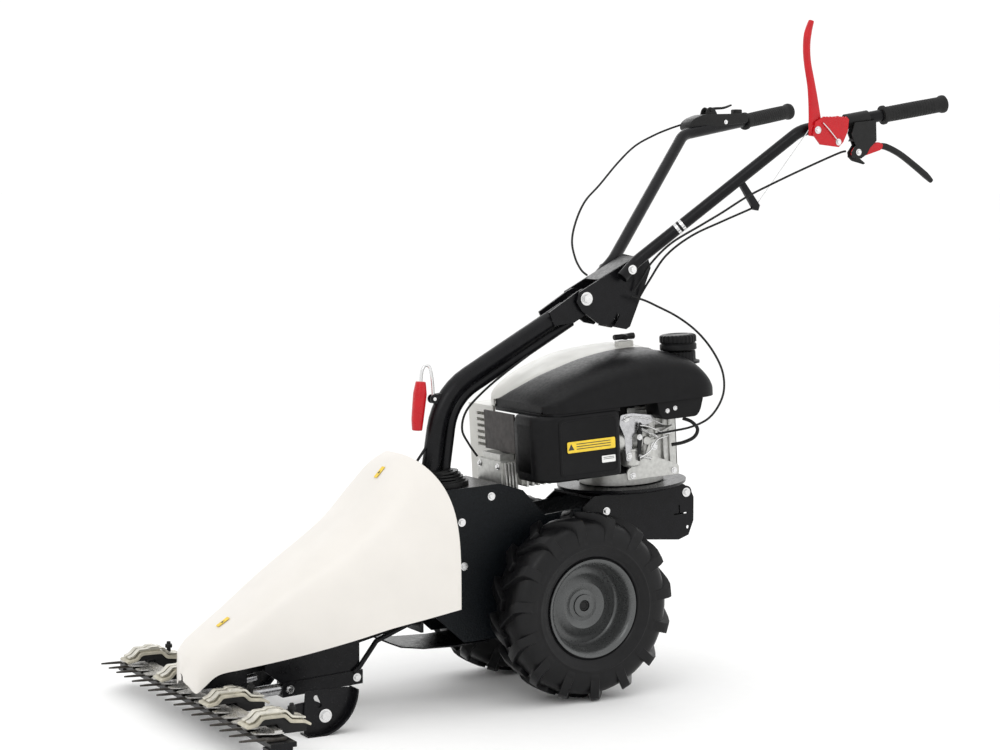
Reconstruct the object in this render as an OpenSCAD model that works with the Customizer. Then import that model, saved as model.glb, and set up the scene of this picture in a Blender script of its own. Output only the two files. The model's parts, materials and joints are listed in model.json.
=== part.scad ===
// Walk-behind brush mower with a centre cutter bar, a side-shifting handlebar
// and a vertical-shaft engine. X is the machine's left, -Y is the way it travels,
// +Z is up. The origin is on the ground under the middle of the machine.

/* [Wheels] */
// Outer diameter of a tyre over its lugs
tyre_d = 410; // [400:2:420]
// Width of a tyre
tyre_w = 122; // [114:2:126]
// Distance between the middles of the two tyres
track = 324; // [320:2:340]
// Outer diameter of a wheel rim's flange
rim_d = 214.6; // [212:0.2:217]
// Number of lugs on each half of a tyre
lug_count = 15; // [13:1:17]

/* [Cutter bar] */
// Width of the cutter bar
bar_w = 870; // [864:2:880]
// Distance between two guard fingers
finger_pitch = 50.8; // [50:0.1:51]
// Number of guard fingers
finger_count = 17; // [15:2:17]

/* [Chassis] */
// Angle by which the chassis and engine lean towards the cutter bar
nose_down = 3.3; // [2.8:0.1:3.8]
// Height of the skid's round sole
skid_r = 94; // [93:1:96]

/* [Handlebar] */
// Diameter of the handlebar tubes
bar_tube_d = 27; // [25:0.5:28]
// Diameter of the column's main tube
column_d = 42; // [40:0.5:43]
// Diameter of a hand grip
grip_d = 35; // [33:0.5:37]

/* [Hidden] */
$fn = 64;
fit = 0.05;
axle_y = 12;
wheel_r = tyre_d / 2;
shaft_r = 12.5;
axle_half = 150;
plate = 4;
side_x = 78;

// The tilted chassis frame has its origin on the wheel axle
crank_y = 213;
input_y = -68.5;
column_y = -247;
rocker_y = -755;
case_back = -737;
stay_route = [[60, -500, 88], [60, -486, 98], [60, -446, 150], [60, -343, 190]];
stay_r = 5.5;
knife_pin_y = -818;
knife_tip = -862;
finger_tip = -900;
skid_bolt = [0, -629, 38];
deck_z = 219;
boot_top = 310;
belt_driven_r = 55;
belt_crank_r = 33;

// Handlebar stations, as ground heights over the axle's Y
bar_foot = [50, 168, 911];
bar_knee = [50, 205, 946];
bar_bend = [238, 515, 1238];
grip_out = [299, 869, 1301];
grip_in = bar_bend + 0.56 * (grip_out - bar_bend);
tilt_axis = [0, 86, 865];
lever_axis = [0, 530, 1238];
clutch_axis = [0, 640, 1190];
lock_axis = [0, -279, 655];

// Side profile and plan of the engine's top cover, in the chassis frame
cowl_profile = [[-72, 426], [-72, 462], [-50, 490], [0, 514], [60, 532], [120, 542], [190, 547],
    [255, 544], [310, 527], [345, 494], [362, 456], [368, 426]];
cowl_plan = [[-150, -72], [-190, -30], [-190, 320], [-140, 368], [140, 368], [190, 320],
    [190, -30], [150, -72]];
cowl_middle = [150, 470];
cowl_skin = 4;
cap_x = 80;
cap_y = 330;

// Cable routes
throttle_route = [[-271, 528, 1262], [-271, 495, 1252], [-268, 450, 1236], [-256, 390, 1210],
    [-235, 330, 1170], [-205, 262, 1118], [-175, 205, 1080], [-148, 165, 1035],
    [-120, 138, 990], [-92, 130, 952], [-62, 128, 926], [-42, 132, 914]];
clutch_route = [[284, 606, 1192], [280, 585, 1186], [256, 505, 1150], [226, 445, 1118],
    [202, 396, 1090], [176, 350, 1056], [152, 310, 1028], [112, 258, 988], [78, 228, 944],
    [50, 218, 906], [40, 205, 880]];
drive_route = [[164, 446, 1068], [162, 420, 1058], [152, 366, 1036], [122, 305, 1004],
    [88, 260, 960], [54, 238, 904], [42, 222, 870]];
drive_wire_route = [[262, 522, 1240], [164, 446, 1068]];
engine_route = [[54, 190, 868], [60, 220, 860], [68, 250, 846], [80, 296, 822], [96, 336, 790],
    [116, 364, 750], [142, 376, 704], [166, 366, 662], [184, 340, 628], [194, 304, 600],
    [190, 262, 584], [178, 220, 576], [166, 186, 570]];
column_route = [[30, -60, 744], [30, -120, 706], [29, -172, 668], [27, -212, 628],
    [26, -222, 588], [26, -206, 556], [28, -186, 528]];
hose_route = [[152, 266, 600], [160, 284, 592], [166, 296, 576], [162, 290, 558], [150, 270, 546],
    [134, 248, 540]];

module ground_frame() translate([0, axle_y, 0]) children();
module chassis_frame() translate([0, axle_y, wheel_r]) rotate([nose_down, 0, 0]) children();
module both_sides() {
    children();
    mirror([1, 0, 0]) children();
}
// A side profile drawn as (y, z) and thickened along X from x0 to x1
module side_slab(x0, x1) translate([x0, 0, 0]) rotate([90, 0, 90]) linear_extrude(x1 - x0) children();
module rod_x(y, z, r, x0, x1) translate([x0, y, z]) rotate([0, 90, 0]) cylinder(r = r, h = x1 - x0);
module rod(p, q, r) {
    d = q - p;
    translate(p) rotate([0, acos(d.z / norm(d)), atan2(d.y, d.x)]) cylinder(r = r, h = norm(d));
}
module block(low, high) translate(low) cube(high - low);

function unit(v) = v / norm(v);
bar_dir = unit(grip_out - bar_bend);

// A bent tube's centre line: the corners of a route turned into arcs of radius bend
function corner(p, q, s, bend, steps) =
    let(u = unit(q - p), v = unit(s - q), turn = acos(u * v), inward = unit(cross(cross(u, v), u)),
        start = q - u * bend * tan(turn / 2), centre = start + inward * bend)
    [for (k = [0 : steps]) let(a = turn * k / steps)
        centre + bend * (sin(a) * u - cos(a) * inward)];
function rounded_route(points, bend, steps) = let(last = len(points) - 1)
    [points[0], for (i = [1 : 1 : last - 1], p = corner(points[i - 1], points[i], points[i + 1],
        bend, steps)) p, points[last]];
function section(path, i, r, sides) = let(last = len(path) - 1,
    u = unit(path[min(i + 1, last)] - path[max(i - 1, 0)]),
    a = unit(cross(u, [1, 0.02, 0.01])), b = cross(u, a))
    [for (k = [0 : sides - 1]) path[i] + r * (cos(k * 360 / sides) * a + sin(k * 360 / sides) * b)];
function band(low, high, sides) =
    [for (k = [0 : sides - 1]) let(n = (k + 1) % sides) [low + k, high + k, high + n, low + n]];
module solid_sweep(path, r, sides) {
    last = len(path) - 1;
    polyhedron([for (i = [0 : last], p = section(path, i, r, sides)) p],
        [for (i = [0 : last - 1], f = band(i * sides, (i + 1) * sides, sides)) f,
            [for (k = [0 : sides - 1]) k], [for (k = [sides - 1 : -1 : 0]) last * sides + k]]);
}
module tube(points, bend, r, wall, sides = 24, steps = 7) {
    path = rounded_route(points, bend, steps);
    last = len(path) - 1;
    inner = (last + 1) * sides;
    polyhedron([for (w = [0, wall], i = [0 : last], p = section(path, i, r - w, sides)) p],
        [for (i = [0 : last - 1], f = band(i * sides, (i + 1) * sides, sides)) f,
            for (i = [0 : last - 1], f = band(inner + (i + 1) * sides, inner + i * sides, sides)) f,
            for (f = band(inner, 0, sides)) f,
            for (f = band(last * sides, inner + last * sides, sides)) f], convexity = 6);
}

// A sheathed cable: a smooth curve through the route with an eight-sided section
function spline(a, b, c, d, t) = 0.5 * ((2 * b) + (c - a) * t + (2 * a - 5 * b + 4 * c - d) * t * t
    + (3 * b - a - 3 * c + d) * t * t * t);
function smooth_path(route, steps) = let(last = len(route) - 1)
    concat([for (i = [0 : last - 1], k = [0 : steps - 1])
        spline(route[max(i - 1, 0)], route[i], route[i + 1], route[min(i + 2, last)], k / steps)],
        [route[last]]);
module cable(route, r, steps = 1) solid_sweep(smooth_path(route, steps), r, 8);
module hex_bolt_x(y, z, x, r) {
    rod_x(y, z, r * 1.5, x, x + 1.6);
    translate([x + 1.6, y, z]) rotate([0, 90, 0]) cylinder(r = r, h = r * 0.7, $fn = 6);
}

// Chassis
module side_plates() color("black") chassis_frame() both_sides() {
    difference() {
        side_slab(side_x - plate / 2, side_x + plate / 2)
            polygon([[-340, 30], [-340, 215], [-306, 275], [-142, 275], [-86, 254], [-34, 193],
                [150, 203], [150, 122], [62, 60], [56, -52], [-60, -66], [-250, -60]]);
        rod_x(0, 0, 30, side_x - 5, side_x + 5);
    }
    block([side_x, -336, 112], [159, -316, 116]);
    block([155, -336, 112], [159, -316, 150]);
}
module gearbox_case() color("dimgray") chassis_frame() difference() {
    union() {
        block([-56, -104, -64], [56, 66, 112]);
        rod_x(0, 0, 29.8, -88, 88);
        block([-75.5, -30, -40], [75.5, 30, 40]);
    }
    block([-48, -96, -56], [48, 58, 104]);
    rod_x(0, 0, 22, -89, 89);
    translate([0, input_y, 90]) cylinder(r = 22, h = 30);
    translate([0, input_y, -62]) cylinder(r = 18, h = 10);
}
module gearbox_cover() color("black") chassis_frame() difference() {
    union() {
        block([-75.5, -306, 268], [75.5, -142, 275]);
        block([-75.5, -306, 200], [75.5, -300, 268]);
        block([-75.5, -148, 230], [75.5, -142, 268]);
        translate([0, column_y, 240]) cylinder(r = 30, h = 30);
    }
    translate([0, column_y, 235]) cylinder(r = 18 + fit, h = 50);
}
module belly_guard() color("black") ground_frame()
    side_slab(-74, 74) polygon([[-424, 144], [-395, 132], [-340, 124], [-262, 122], [-180, 126],
        [-180, 129], [-262, 125], [-340, 127], [-393, 135], [-422, 147]]);
module rear_bracket() color("black") chassis_frame() {
    both_sides() difference() {
        side_slab(side_x + 2.2, side_x + 6.2) difference() {
            union() {
                polygon([[60, 198], [60, 130], [200, 107], [307, 93], [334, 101], [349, 133],
                    [352, 186], [344, 206], [326, 218.7], [90, 218.7]]);
                translate([332, 199]) circle(15);
            }
            translate([315, 152]) square([36, 3], center = true);
            translate([312, 162]) square([3, 20], center = true);
        }
        rod_x(333, 119, 4, 60, 100);
        rod_x(332, 199, 5, 60, 100);
    }
    block([-80.2, 322, 108], [80.2, 326, 190]);
    difference() {
        block([-80.2, 82, deck_z - 6], [80.2, 326, deck_z - 0.3]);
        translate([0, crank_y, deck_z - 8]) cylinder(r = 30, h = 10);
    }
}
module bearings() color("silver") chassis_frame() {
    for (x = [-86, 70]) difference() {
        rod_x(0, 0, 21.9, x, x + 16);
        rod_x(0, 0, shaft_r + fit, x - 1, x + 17);
    }
    for (z = [-62, 98]) difference() {
        translate([0, input_y, z]) cylinder(r = z < 0 ? 17.9 : 21.9, h = z < 0 ? 8 : 12);
        translate([0, input_y, z - 1]) cylinder(r = 10 + fit, h = 20);
    }
}
module frame_bolts() color("silver") {
    ground_frame() {
        hex_bolt_x(-646, 66, 60, 6);
        hex_bolt_x(-492, 76, 60, 6);
    }
    ground_frame() both_sides() {
        rod_x(skid_bolt.y, skid_bolt.z, 8, 197.2, 206);
        rod_x(skid_bolt.y, skid_bolt.z, 14, 201.6, 204);
        translate([204, skid_bolt.y, skid_bolt.z]) rotate([0, 90, 0]) cylinder(r = 10, h = 6, $fn = 6);
    }
    chassis_frame() both_sides() {
        for (p = [[-165, 250], [-240, 202], [-240, 106], [10, 172], [-90, 60]])
            hex_bolt_x(p[0], p[1], side_x + plate / 2, 6);
        hex_bolt_x(332, 199, side_x + 6.2, 7);
        for (p = [[90, 160], [120, 182]]) hex_bolt_x(p[0], p[1], side_x + 6.2, 6);
    }
}

// Drive train inside the chassis
module axle_shaft() color("silver") chassis_frame() rod_x(0, 0, shaft_r, -axle_half, axle_half);
module worm_wheel() color("goldenrod") chassis_frame() difference() {
    union() {
        rod_x(0, 0, 46, -11, 11);
        rod_x(0, 0, 24, -24, 24);
    }
    rod_x(0, 0, shaft_r, -30, 30);
}
module worm_shaft() color("silver") chassis_frame() translate([0, input_y, 0]) {
    translate([0, 0, -60]) cylinder(r = 10, h = 250);
    translate([0, 0, -32]) cylinder(r = 21, h = 64);
}
module pulley(r, bore, h) rotate_extrude() polygon([[bore, 0], [r, 0], [r, 4],
    [r - 9, h / 2 - 2], [r - 9, h / 2 + 2], [r, h - 4], [r, h], [bore, h]]);
module driven_pulley() color("gray") chassis_frame()
    translate([0, input_y, 150]) pulley(60, 10, 20);
module crank_pulley() color("gray") chassis_frame() translate([0, crank_y, 0]) {
    translate([0, 0, 150]) pulley(38, shaft_r, 20);
    translate([0, 0, 144]) cylinder(r = shaft_r, h = 180);
}
// The belt's inner line round both pulleys, grown outwards
module belt_outline(grow) {
    r1 = belt_driven_r + grow;
    r2 = belt_crank_r + grow;
    lean = asin((belt_driven_r - belt_crank_r) / (crank_y - input_y));
    translate([0, input_y]) circle(r1);
    translate([0, crank_y]) circle(r2);
    polygon([[r1 * cos(lean), input_y + r1 * sin(lean)], [r2 * cos(lean), crank_y + r2 * sin(lean)],
        [-r2 * cos(lean), crank_y + r2 * sin(lean)], [-r1 * cos(lean), input_y + r1 * sin(lean)]]);
}
module drive_belt() color("black") chassis_frame()
    translate([0, 0, 156.5]) linear_extrude(7) difference() {
        belt_outline(8);
        belt_outline(0.3);
    }

// Wheels
module tyre(side) color("#1a1a1a") translate([side * track / 2, axle_y, wheel_r]) {
    half = tyre_w / 2;
    rotate([0, 90, 0]) rotate_extrude($fn = 128) polygon([[97, -40], [97, -46], [110, -46],
        [115, -55], [140, -half], [160, -half + 1], [176, -half + 8], [186, -34], [188, 0], [186, 34],
        [176, half - 8], [160, half - 1], [140, half], [115, 55], [110, 46], [97, 46], [97, 40],
        [104, 39], [116, 48], [140, half - 8], [160, half - 9], [172, 42], [179, 0],
        [172, -42], [160, -half + 9], [140, -half + 8], [116, -48], [104, -39]]);
    intersection() {
        rotate([0, 90, 0]) difference() {
            translate([0, 0, -half]) cylinder(r = wheel_r, h = tyre_w, $fn = 128);
            translate([0, 0, -half - 1]) cylinder(r = 180, h = tyre_w + 2, $fn = 128);
        }
        for (i = [0 : lug_count - 1], hand = [-1, 1])
            rotate([(i + hand * 0.25 + 0.25) * 360 / lug_count, 0, 0])
                translate([hand * 30, 0, -194]) rotate([0, 0, -hand * 32])
                    cube([76, 17, 30], center = true);
    }
}
module left_tyre() tyre(1);
module right_tyre() tyre(-1);
module rim(side) color("silver") translate([side * track / 2, axle_y, wheel_r])
    rotate([0, side * 90, 0]) rotate_extrude($fn = 96) polygon([[shaft_r + fit, 13], [17, 13],
        [24, 12], [25, 8], [34, 6], [43, 10], [50, 12], [58, 8], [70, 2], [84, 0], [89, 6],
        [93, 40], [98, 48], [103, 52], [rim_d / 2, 52.6], [rim_d / 2, 49], [103, 46.4],
        [96.7, 46.4], [92, 20], [92, -20], [96.7, -46.4], [103, -46.4], [rim_d / 2, -49],
        [rim_d / 2, -52], [102, -51], [93, -42], [89, -20], [87, -4], [70, -2], [58, 4],
        [50, 8], [43, 6], [34, 2], [25, 3], [24, -68], [shaft_r + fit, -68]]);
module left_rim() rim(1);
module right_rim() rim(-1);

// Front carrier and knife drive
module carrier_beam() color("black") ground_frame() {
    side_slab(-22, 22) polygon([[case_back, 97], [case_back, 130], [-345, 240], [-345, 170], [-500, 134]]);
    block([-73, -346, 160], [73, -340, 250]);
    side_slab(52, 56) polygon([[-664, 80], [-700, 108], [-700, 122], [-484, 172], [-484, 90]]);
    block([-22, -700, 112], [56, -690, 122]);
    block([-22, -530, 140], [56, -520, 148]);
    side_slab(28, 60) polygon([[-662, 50], [-662, 80], [-478, 92], [-478, 62]]);
    solid_sweep(rounded_route(stay_route, 12, 4), stay_r, 16);
}
module knife_drive_case() color("black") ground_frame() difference() {
    union() {
        block([-48, -835, 84], [48, case_back, 90]);
        block([-48, -835, 84], [-44, case_back, 128]);
        block([44, -835, 84], [48, case_back, 128]);
        block([-48, case_back - 4, 84], [48, case_back, 128]);
        block([-48, -835, 124], [48, case_back, 128]);
    }
    translate([0, rocker_y, 80]) cylinder(r = 10, h = 60);
    block([-38, -836, 83], [38, -790, 91]);
}
module rocker_arm() color("silver") ground_frame() difference() {
    union() {
        translate([0, rocker_y, 94]) cylinder(r = 12.5, h = 10);
        block([-10, -829, 94], [10, rocker_y, 104]);
        translate([0, rocker_y, 78]) cylinder(r = 9.95, h = 56);
    }
    block([-5.5, -830, 90], [5.5, -802, 110]);
}
module support_rods() color("silver") ground_frame() {
    rod([44, -741.3, 62], [44, -662.8, 66], 12);
    rod([10, -735.2, 85], [10, -702, 90], 8);
}

// Cutter bar
module bar_beam() color("gray") ground_frame() {
    block([-bar_w / 2, -846, 44], [bar_w / 2, -792, 53.5]);
    both_sides() {
        block([190, -792, 44], [197, -700, 53.5]);
        side_slab(190, 197) polygon([[-712, 44], [-690, 44], [-650, 26], [-622, 22], [-612, 34],
            [-618, 54], [-650, 70], [-690, 66], [-712, 56]]);
        block([bar_w / 2 - 30, -850, 36], [bar_w / 2, -800, 44]);
    }
    block([-50, -792, 44], [56, -742, 53.5]);
    block([26, -760, 53.5], [60, -742, 78]);
    block([-20, -800, 53.5], [20, -780, 83.8]);
}
module guard_fingers() color("dimgray") ground_frame()
    for (i = [0 : finger_count - 1]) translate([(i - (finger_count - 1) / 2) * finger_pitch, 0, 0]) {
        block([-11, -848, 54], [11, -805, 60]);
        translate([0, 0, 55]) linear_extrude(7)
            polygon([[-8, -848], [-3.6, -860], [-2.6, finger_tip], [2.6, finger_tip], [3.6, -860], [8, -848]]);
    }
module knife_blades() color("silver") ground_frame() {
    half = (finger_count - 1) / 2;
    translate([0, 0, 64.5]) linear_extrude(2.5)
        for (i = [-half : half - 1]) translate([(i + 0.5) * finger_pitch, 0])
            polygon([[-24, -806], [-24, -828], [-7, knife_tip], [7, knife_tip], [24, -828], [24, -806]]);
    block([-half * finger_pitch, -826, 67], [half * finger_pitch, -810, 72]);
}
module knife_head() color("gray") ground_frame() {
    block([-26, -830, 72.3], [26, -806, 82]);
    translate([0, knife_pin_y, 82]) cylinder(r = 4, h = 26);
}
module knife_holder() {
    side_slab(-20, 20) polygon([[-744, 60.3], [-744, 74], [-756, 84], [-778, 88], [-812, 87],
        [-838, 84], [-858, 76], [-864, 70], [-858, 69], [-836, 77], [-812, 80], [-778, 81],
        [-760, 77], [-756, 70], [-756, 60.3]]);
    side_slab(-28, 28) polygon([[-792, 54], [-792, 60.3], [-736, 60.3], [-736, 54]]);
    side_slab(-13, 13) polygon([[-770, 88], [-776, 94], [-820, 93], [-842, 88], [-836, 84.2],
        [-812, 87]]);
    translate([0, -764, 60]) cylinder(r = 5, h = 48);
    translate([0, -764, 88]) cylinder(r = 8, h = 6, $fn = 6);
}
module knife_holders() color("lightgray") ground_frame()
    for (x = [-345, -135, 135, 345]) translate([x, 0, 0]) knife_holder();
module skid() difference() {
    intersection() {
        translate([0, -655, 92]) union() {
            rod_x(0, 0, skid_r, 197.3, 201.3);
            difference() {
                rod_x(0, 0, skid_r, 180, 220);
                rod_x(0, 0, skid_r - 4, 179, 221);
            }
        }
        block([170, -700, 0], [230, -540, 92]);
        translate([0, -655, 92]) side_slab(170, 230)
            polygon([[-16, 10], [-20, -40], [-20, -100], [110, -100], [110, -6], [20, 10]]);
    }
    rod_x(skid_bolt.y, skid_bolt.z, 8 + fit, 190, 230);
    rod_x(-641, 60, 5, 196, 203);
    rod_x(-649, 77, 5, 196, 203);
    translate([199.5, -645, 68.5]) rotate([25.2, 0, 0]) cube([7, 10, 18.8], center = true);
}
module left_skid() color("#181818") ground_frame() skid();
module right_skid() color("#181818") ground_frame() mirror([1, 0, 0]) skid();

// Hood: arches from the nose to the open rear edge.
// Each station is [side y, top y, half width, bottom z, top z]
hood_stations = [[-858, -864, 34, 88, 146], [-852, -860, 56, 78, 158], [-838, -838, 66, 92, 180],
    [-810, -800, 76, 116, 204], [-760, -735, 90, 126, 246], [-700, -665, 103, 136, 298],
    [-640, -600, 115, 147, 344], [-580, -540, 127, 160, 384], [-520, -490, 138, 174, 424],
    [-450, -440, 150, 192, 482], [-380, -402, 161, 206, 524], [-300, -370, 170, 222, 543]];
hood_skin = 3.5;
function arch(s, inset, sides) = [for (k = [0 : sides])
    let(a = k * 180 / sides, e = 0.62, w = s[2] - inset, h = s[4] - inset - s[3])
    [w * sign(cos(a)) * pow(abs(cos(a)), e), s[0] + (s[1] - s[0]) * pow(sin(a), 3),
        s[3] + h * pow(sin(a), e)]];
module hood() color("#efece6") ground_frame() {
    sides = 24;
    count = len(hood_stations);
    ring = 2 * (sides + 1);
    points = [for (s = hood_stations) concat(arch(s, 0, sides), arch(s, hood_skin, sides))];
    flat = [for (p = points, q = p) q];
    outer = [for (i = [0 : count - 2], k = [0 : sides - 1])
        [i * ring + k, i * ring + k + 1, (i + 1) * ring + k + 1, (i + 1) * ring + k]];
    inner = [for (i = [0 : count - 2], k = [0 : sides - 1])
        let(o = sides + 1) [i * ring + o + k, (i + 1) * ring + o + k, (i + 1) * ring + o + k + 1,
            i * ring + o + k + 1]];
    hem = [for (i = [0 : count - 2], k = [0, sides])
        let(a = i * ring + k, b = a + sides + 1, c = b + ring, d = a + ring)
        k == 0 ? [a, d, c, b] : [a, b, c, d]];
    rims = [for (i = [0, count - 1], k = [0 : sides - 1])
        let(a = i * ring + k, b = a + 1, c = b + sides + 1, d = a + sides + 1)
        i == 0 ? [a, d, c, b] : [a, b, c, d]];
    polyhedron(flat, concat(outer, inner, hem, rims), convexity = 4);
    side_slab(-34, 34) polygon([[-866, 92], [-866, 142], [-861, 146], [-861, 88]]);
}
module warning_labels() color("gold") {
    ground_frame() translate([30, -782.2, 217]) rotate([33, 4, 0]) cube([14, 30, 1.2], center = true);
    ground_frame() translate([25, -420.6, 506.5]) rotate([47.7, 2, 0]) cube([14, 30, 1.2], center = true);
    chassis_frame() translate([190.3, 30, 362]) rotate([2, 0, 0])
        translate([0, -68, -13]) cube([0.8, 136, 26]);
}

// Engine
module engine_flange() color("black") chassis_frame() translate([0, crank_y, deck_z]) difference() {
    rotate_extrude($fn = 96) polygon([[20, 0], [132, 0], [146, 6], [147, 12], [60, 12], [60, 14],
        [20, 14]]);
    for (k = [0 : 3]) rotate([0, 0, 45 + k * 90]) translate([100, 0, -1]) cylinder(r = 5, h = 20);
}
module engine_block() color("silver") chassis_frame() difference() {
    union() {
        translate([0, crank_y, deck_z + 14.3]) cylinder(r = 96, h = 176);
        block([-58, -76, 262], [58, crank_y, 392]);
        for (k = [0 : 6]) block([-70, -70 + k * 14, 258], [70, -65 + k * 14, 396]);
    }
    translate([0, crank_y, deck_z + 24]) cylinder(r = 88, h = 158);
    translate([0, -80, 327]) rotate([-90, 0, 0]) cylinder(r = 34, h = 260);
    translate([0, crank_y, deck_z]) cylinder(r = shaft_r + 1, h = 40);
}
module cylinder_head() color("lightgray") chassis_frame() difference() {
    union() {
        block([-66, -118, 240], [42, -76.5, 316]);
        block([-50, -112, 316], [30, -76.5, 330]);
    }
    block([-58, -110, 248], [34, -75, 308]);
}
function shrink(points, centre, amount) = [for (p = points)
    centre + (p - centre) * (1 - amount / norm(p - centre))];
module cowl_solid(x0, x1, inset) intersection() {
    side_slab(x0, x1) polygon(shrink(cowl_profile, cowl_middle, inset));
    translate([0, 0, 400]) linear_extrude(200) polygon(shrink(cowl_plan, [0, 148], inset * 1.6));
}
module cowl(x0, x1) difference() {
    cowl_solid(x0, x1, 0);
    cowl_solid(x0 + cowl_skin, x1 - cowl_skin, cowl_skin);
}
module fan_shroud() color("#d9d8d3") chassis_frame() difference() {
    cowl(-190, 20);
    block([-170, -60, 425], [10, 350, 432]);
}
module fuel_tank() color("#151515") chassis_frame() {
    difference() {
        union() {
            cowl(20.3, 190);
            intersection() {
                cowl_solid(20.3, 190, 0);
                translate([cap_x, cap_y, 510]) cylinder(r = 50, h = 60);
            }
        }
        translate([cap_x, cap_y, 518]) cylinder(r = 45, h = 60);
    }
    translate([cap_x, cap_y, 512]) cylinder(r = 31, h = 10);
}
module fuel_cap() color("#202020") chassis_frame() translate([cap_x, cap_y, 0]) {
    translate([0, 0, 522.3]) cylinder(r = 30, h = 2);
    translate([0, 0, 524]) cylinder(r = 42, h = 15);
    translate([0, 0, 539]) cylinder(r = 39, h = 4);
    translate([0, 0, 543]) cylinder(r = 42, h = 17);
}
module engine_front_cover() color("#cfcfcb") chassis_frame() difference() {
    block([-188, -70, 244], [-70.5, -4, 424]);
    block([-184, -66, 240], [-66, 0, 420]);
    for (k = [0 : 5]) block([-150, -72, 330 + k * 14], [-84, -60, 337 + k * 14]);
}
module air_box() color("#161616") chassis_frame() difference() {
    translate([0, 0, 278]) linear_extrude(144)
        polygon([[190, -64], [190, 98], [180, 106], [72, 106], [72, -98], [158, -98]]);
    translate([0, 0, 283]) linear_extrude(134)
        polygon([[185, -62], [185, 96], [178, 101], [77, 101], [77, -93], [156, -93]]);
}
module exhaust_shield() color("#6b625c") chassis_frame() {
    block([-66, -96, 334], [71, -92, 420]);
    block([-66, -92, 400], [71, -78, 404]);
}
module carburettor() color("silver") chassis_frame() {
    translate([120, 132, 352]) rotate([-90, 0, 0]) cylinder(r = 24, h = 48);
    translate([120, 156, 292]) cylinder(r = 25, h = 38);
    translate([120, 156, 330]) cylinder(r = 18, h = 10);
    block([97, 106.3, 326], [143, 120, 378]);
    translate([120, 119, 352]) rotate([-90, 0, 0]) cylinder(r = 17, h = 14);
    block([96, 176, 250], [100, 300, 408]);
    block([100, 196, 360], [146, 262, 364]);
    translate([130, 214, 364]) cylinder(r = 12, h = 30);
    translate([146, 190, 340]) rotate([0, 90, 0]) cylinder(r = 9, h = 10);
    rod([152, 196, 342], [152, 258, 366], 3);
}
module fuel_hose() color("#101010") ground_frame() cable(hose_route, 4, 1);
module starter_grip() color("#101010") chassis_frame() translate([-9, 0, 0]) {
    rod([0, 214, 556.5], [0, 270, 556.5], 8);
    block([-18, 234, 548.2], [18, 250, 563]);
}
module throttle_cable() color("#101010") ground_frame() cable(engine_route, 2.5, 2);

// Handlebar column
column_path = [[0, -290, 470], [0, -260.5, 663.6], [0, 50, 838.6]];
brace_path = [[0, -254, 482], [0, -231, 648], [0, 64, 814]];
module column_base() color("#141414") {
    chassis_frame() {
        translate([0, column_y, 242]) cylinder(r = 18, h = 34);
        translate([0, column_y, 275.3]) cylinder(r = 62, h = 10);
        for (k = [0 : 3]) translate([0, column_y, 285.3 + k * 6]) cylinder(r = 56 - k * 5, h = 4);
        translate([0, column_y - 8, 284]) cylinder(r = 37, h = boot_top - 284);
    }
}
module column_tubes() color("#121212") ground_frame() {
    difference() {
        union() {
            tube(column_path, 155, column_d / 2, 3);
            tube(brace_path, 120, 12.5, 2.5);
            both_sides() side_slab(20, 25) union() {
                polygon([[10, 806], [-4, 836], [70, 882], [104, 872], [172, 826], [170, 806],
                    [152, 804], [96, 832], [60, 812]]);
                translate([tilt_axis.y, tilt_axis.z]) circle(22);
            }
        }
        rod_x(tilt_axis.y, tilt_axis.z, 6 + fit, -30, 30);
        rod_x(161, 816, 5 + fit, -30, 30);
        translate([0, -axle_y, 0]) chassis_frame() translate([0, column_y, 200])
            cylinder(r = 90, h = boot_top - 200);
    }
    rod([4, -258, 604], [4, -334, 504], 3);
    both_sides() side_slab(5, 8) difference() {
        union() {
            polygon([[-276, 645], [-252, 640], [-252, 668], [-276, 665]]);
            translate([lock_axis.y, lock_axis.z]) circle(10);
        }
        translate([lock_axis.y, lock_axis.z]) circle(4 + fit);
    }
}
module column_cable() color("#101010") ground_frame() cable(column_route, 2.5, 2);
module lock_lever() color("#d1121b") ground_frame() {
    hull() {
        rod([0, -318, 590], [0, -318, 592], 13);
        rod([0, -312, 660], [0, -312, 662], 15);
        rod([0, -309, 690], [0, -309, 692], 11);
    }
    rod([0, -308, 692], [0, -304, 716], 7);
    solid_sweep(rounded_route([[0, -305, 708], [0, -302, 728], [0, -284, 726],
        [0, lock_axis.y, lock_axis.z]], 7, 4), 3.5, 12);
    rod_x(lock_axis.y, lock_axis.z, 4, -9, 9);
}
module handle_bracket() color("#141414") ground_frame() {
    both_sides() difference() {
        side_slab(30, 34) difference() {
            polygon([[61, 858], [68, 880], [222, 961], [246, 956], [254, 931], [235, 882],
                [200, 800], [190, 794], [118, 808], [74, 838]]);
            translate([tilt_axis.y, tilt_axis.z]) difference() {
                intersection() {
                    circle(95.3);
                    polygon([[0, 0], [140, -60], [140, -140], [75, -140]]);
                }
                circle(84.7);
            }
        }
        rod_x(tilt_axis.y, tilt_axis.z, 6 + fit, 25, 40);
        rod_x(187, 929, 5.05, 25, 40);
    }
    rod_x(222, 936, 12, -31, 31);
    side_slab(-31, 31) polygon([[120, 903], [118, 907], [216, 958], [218, 954]]);
}
module handle_tube() difference() {
    tube([bar_foot, bar_knee, bar_bend, grip_out], 60, bar_tube_d / 2, 2.5);
    rod_x(187, 929, 5.05, 30, 70);
}
module left_bar() color("#141414") ground_frame() {
    handle_tube();
    side_slab(168, 176) polygon([[399, 1116], [411, 1124], [452, 1072], [448, 1060], [436, 1062]]);
}
module right_bar() color("#141414") ground_frame() mirror([1, 0, 0]) handle_tube();
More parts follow.
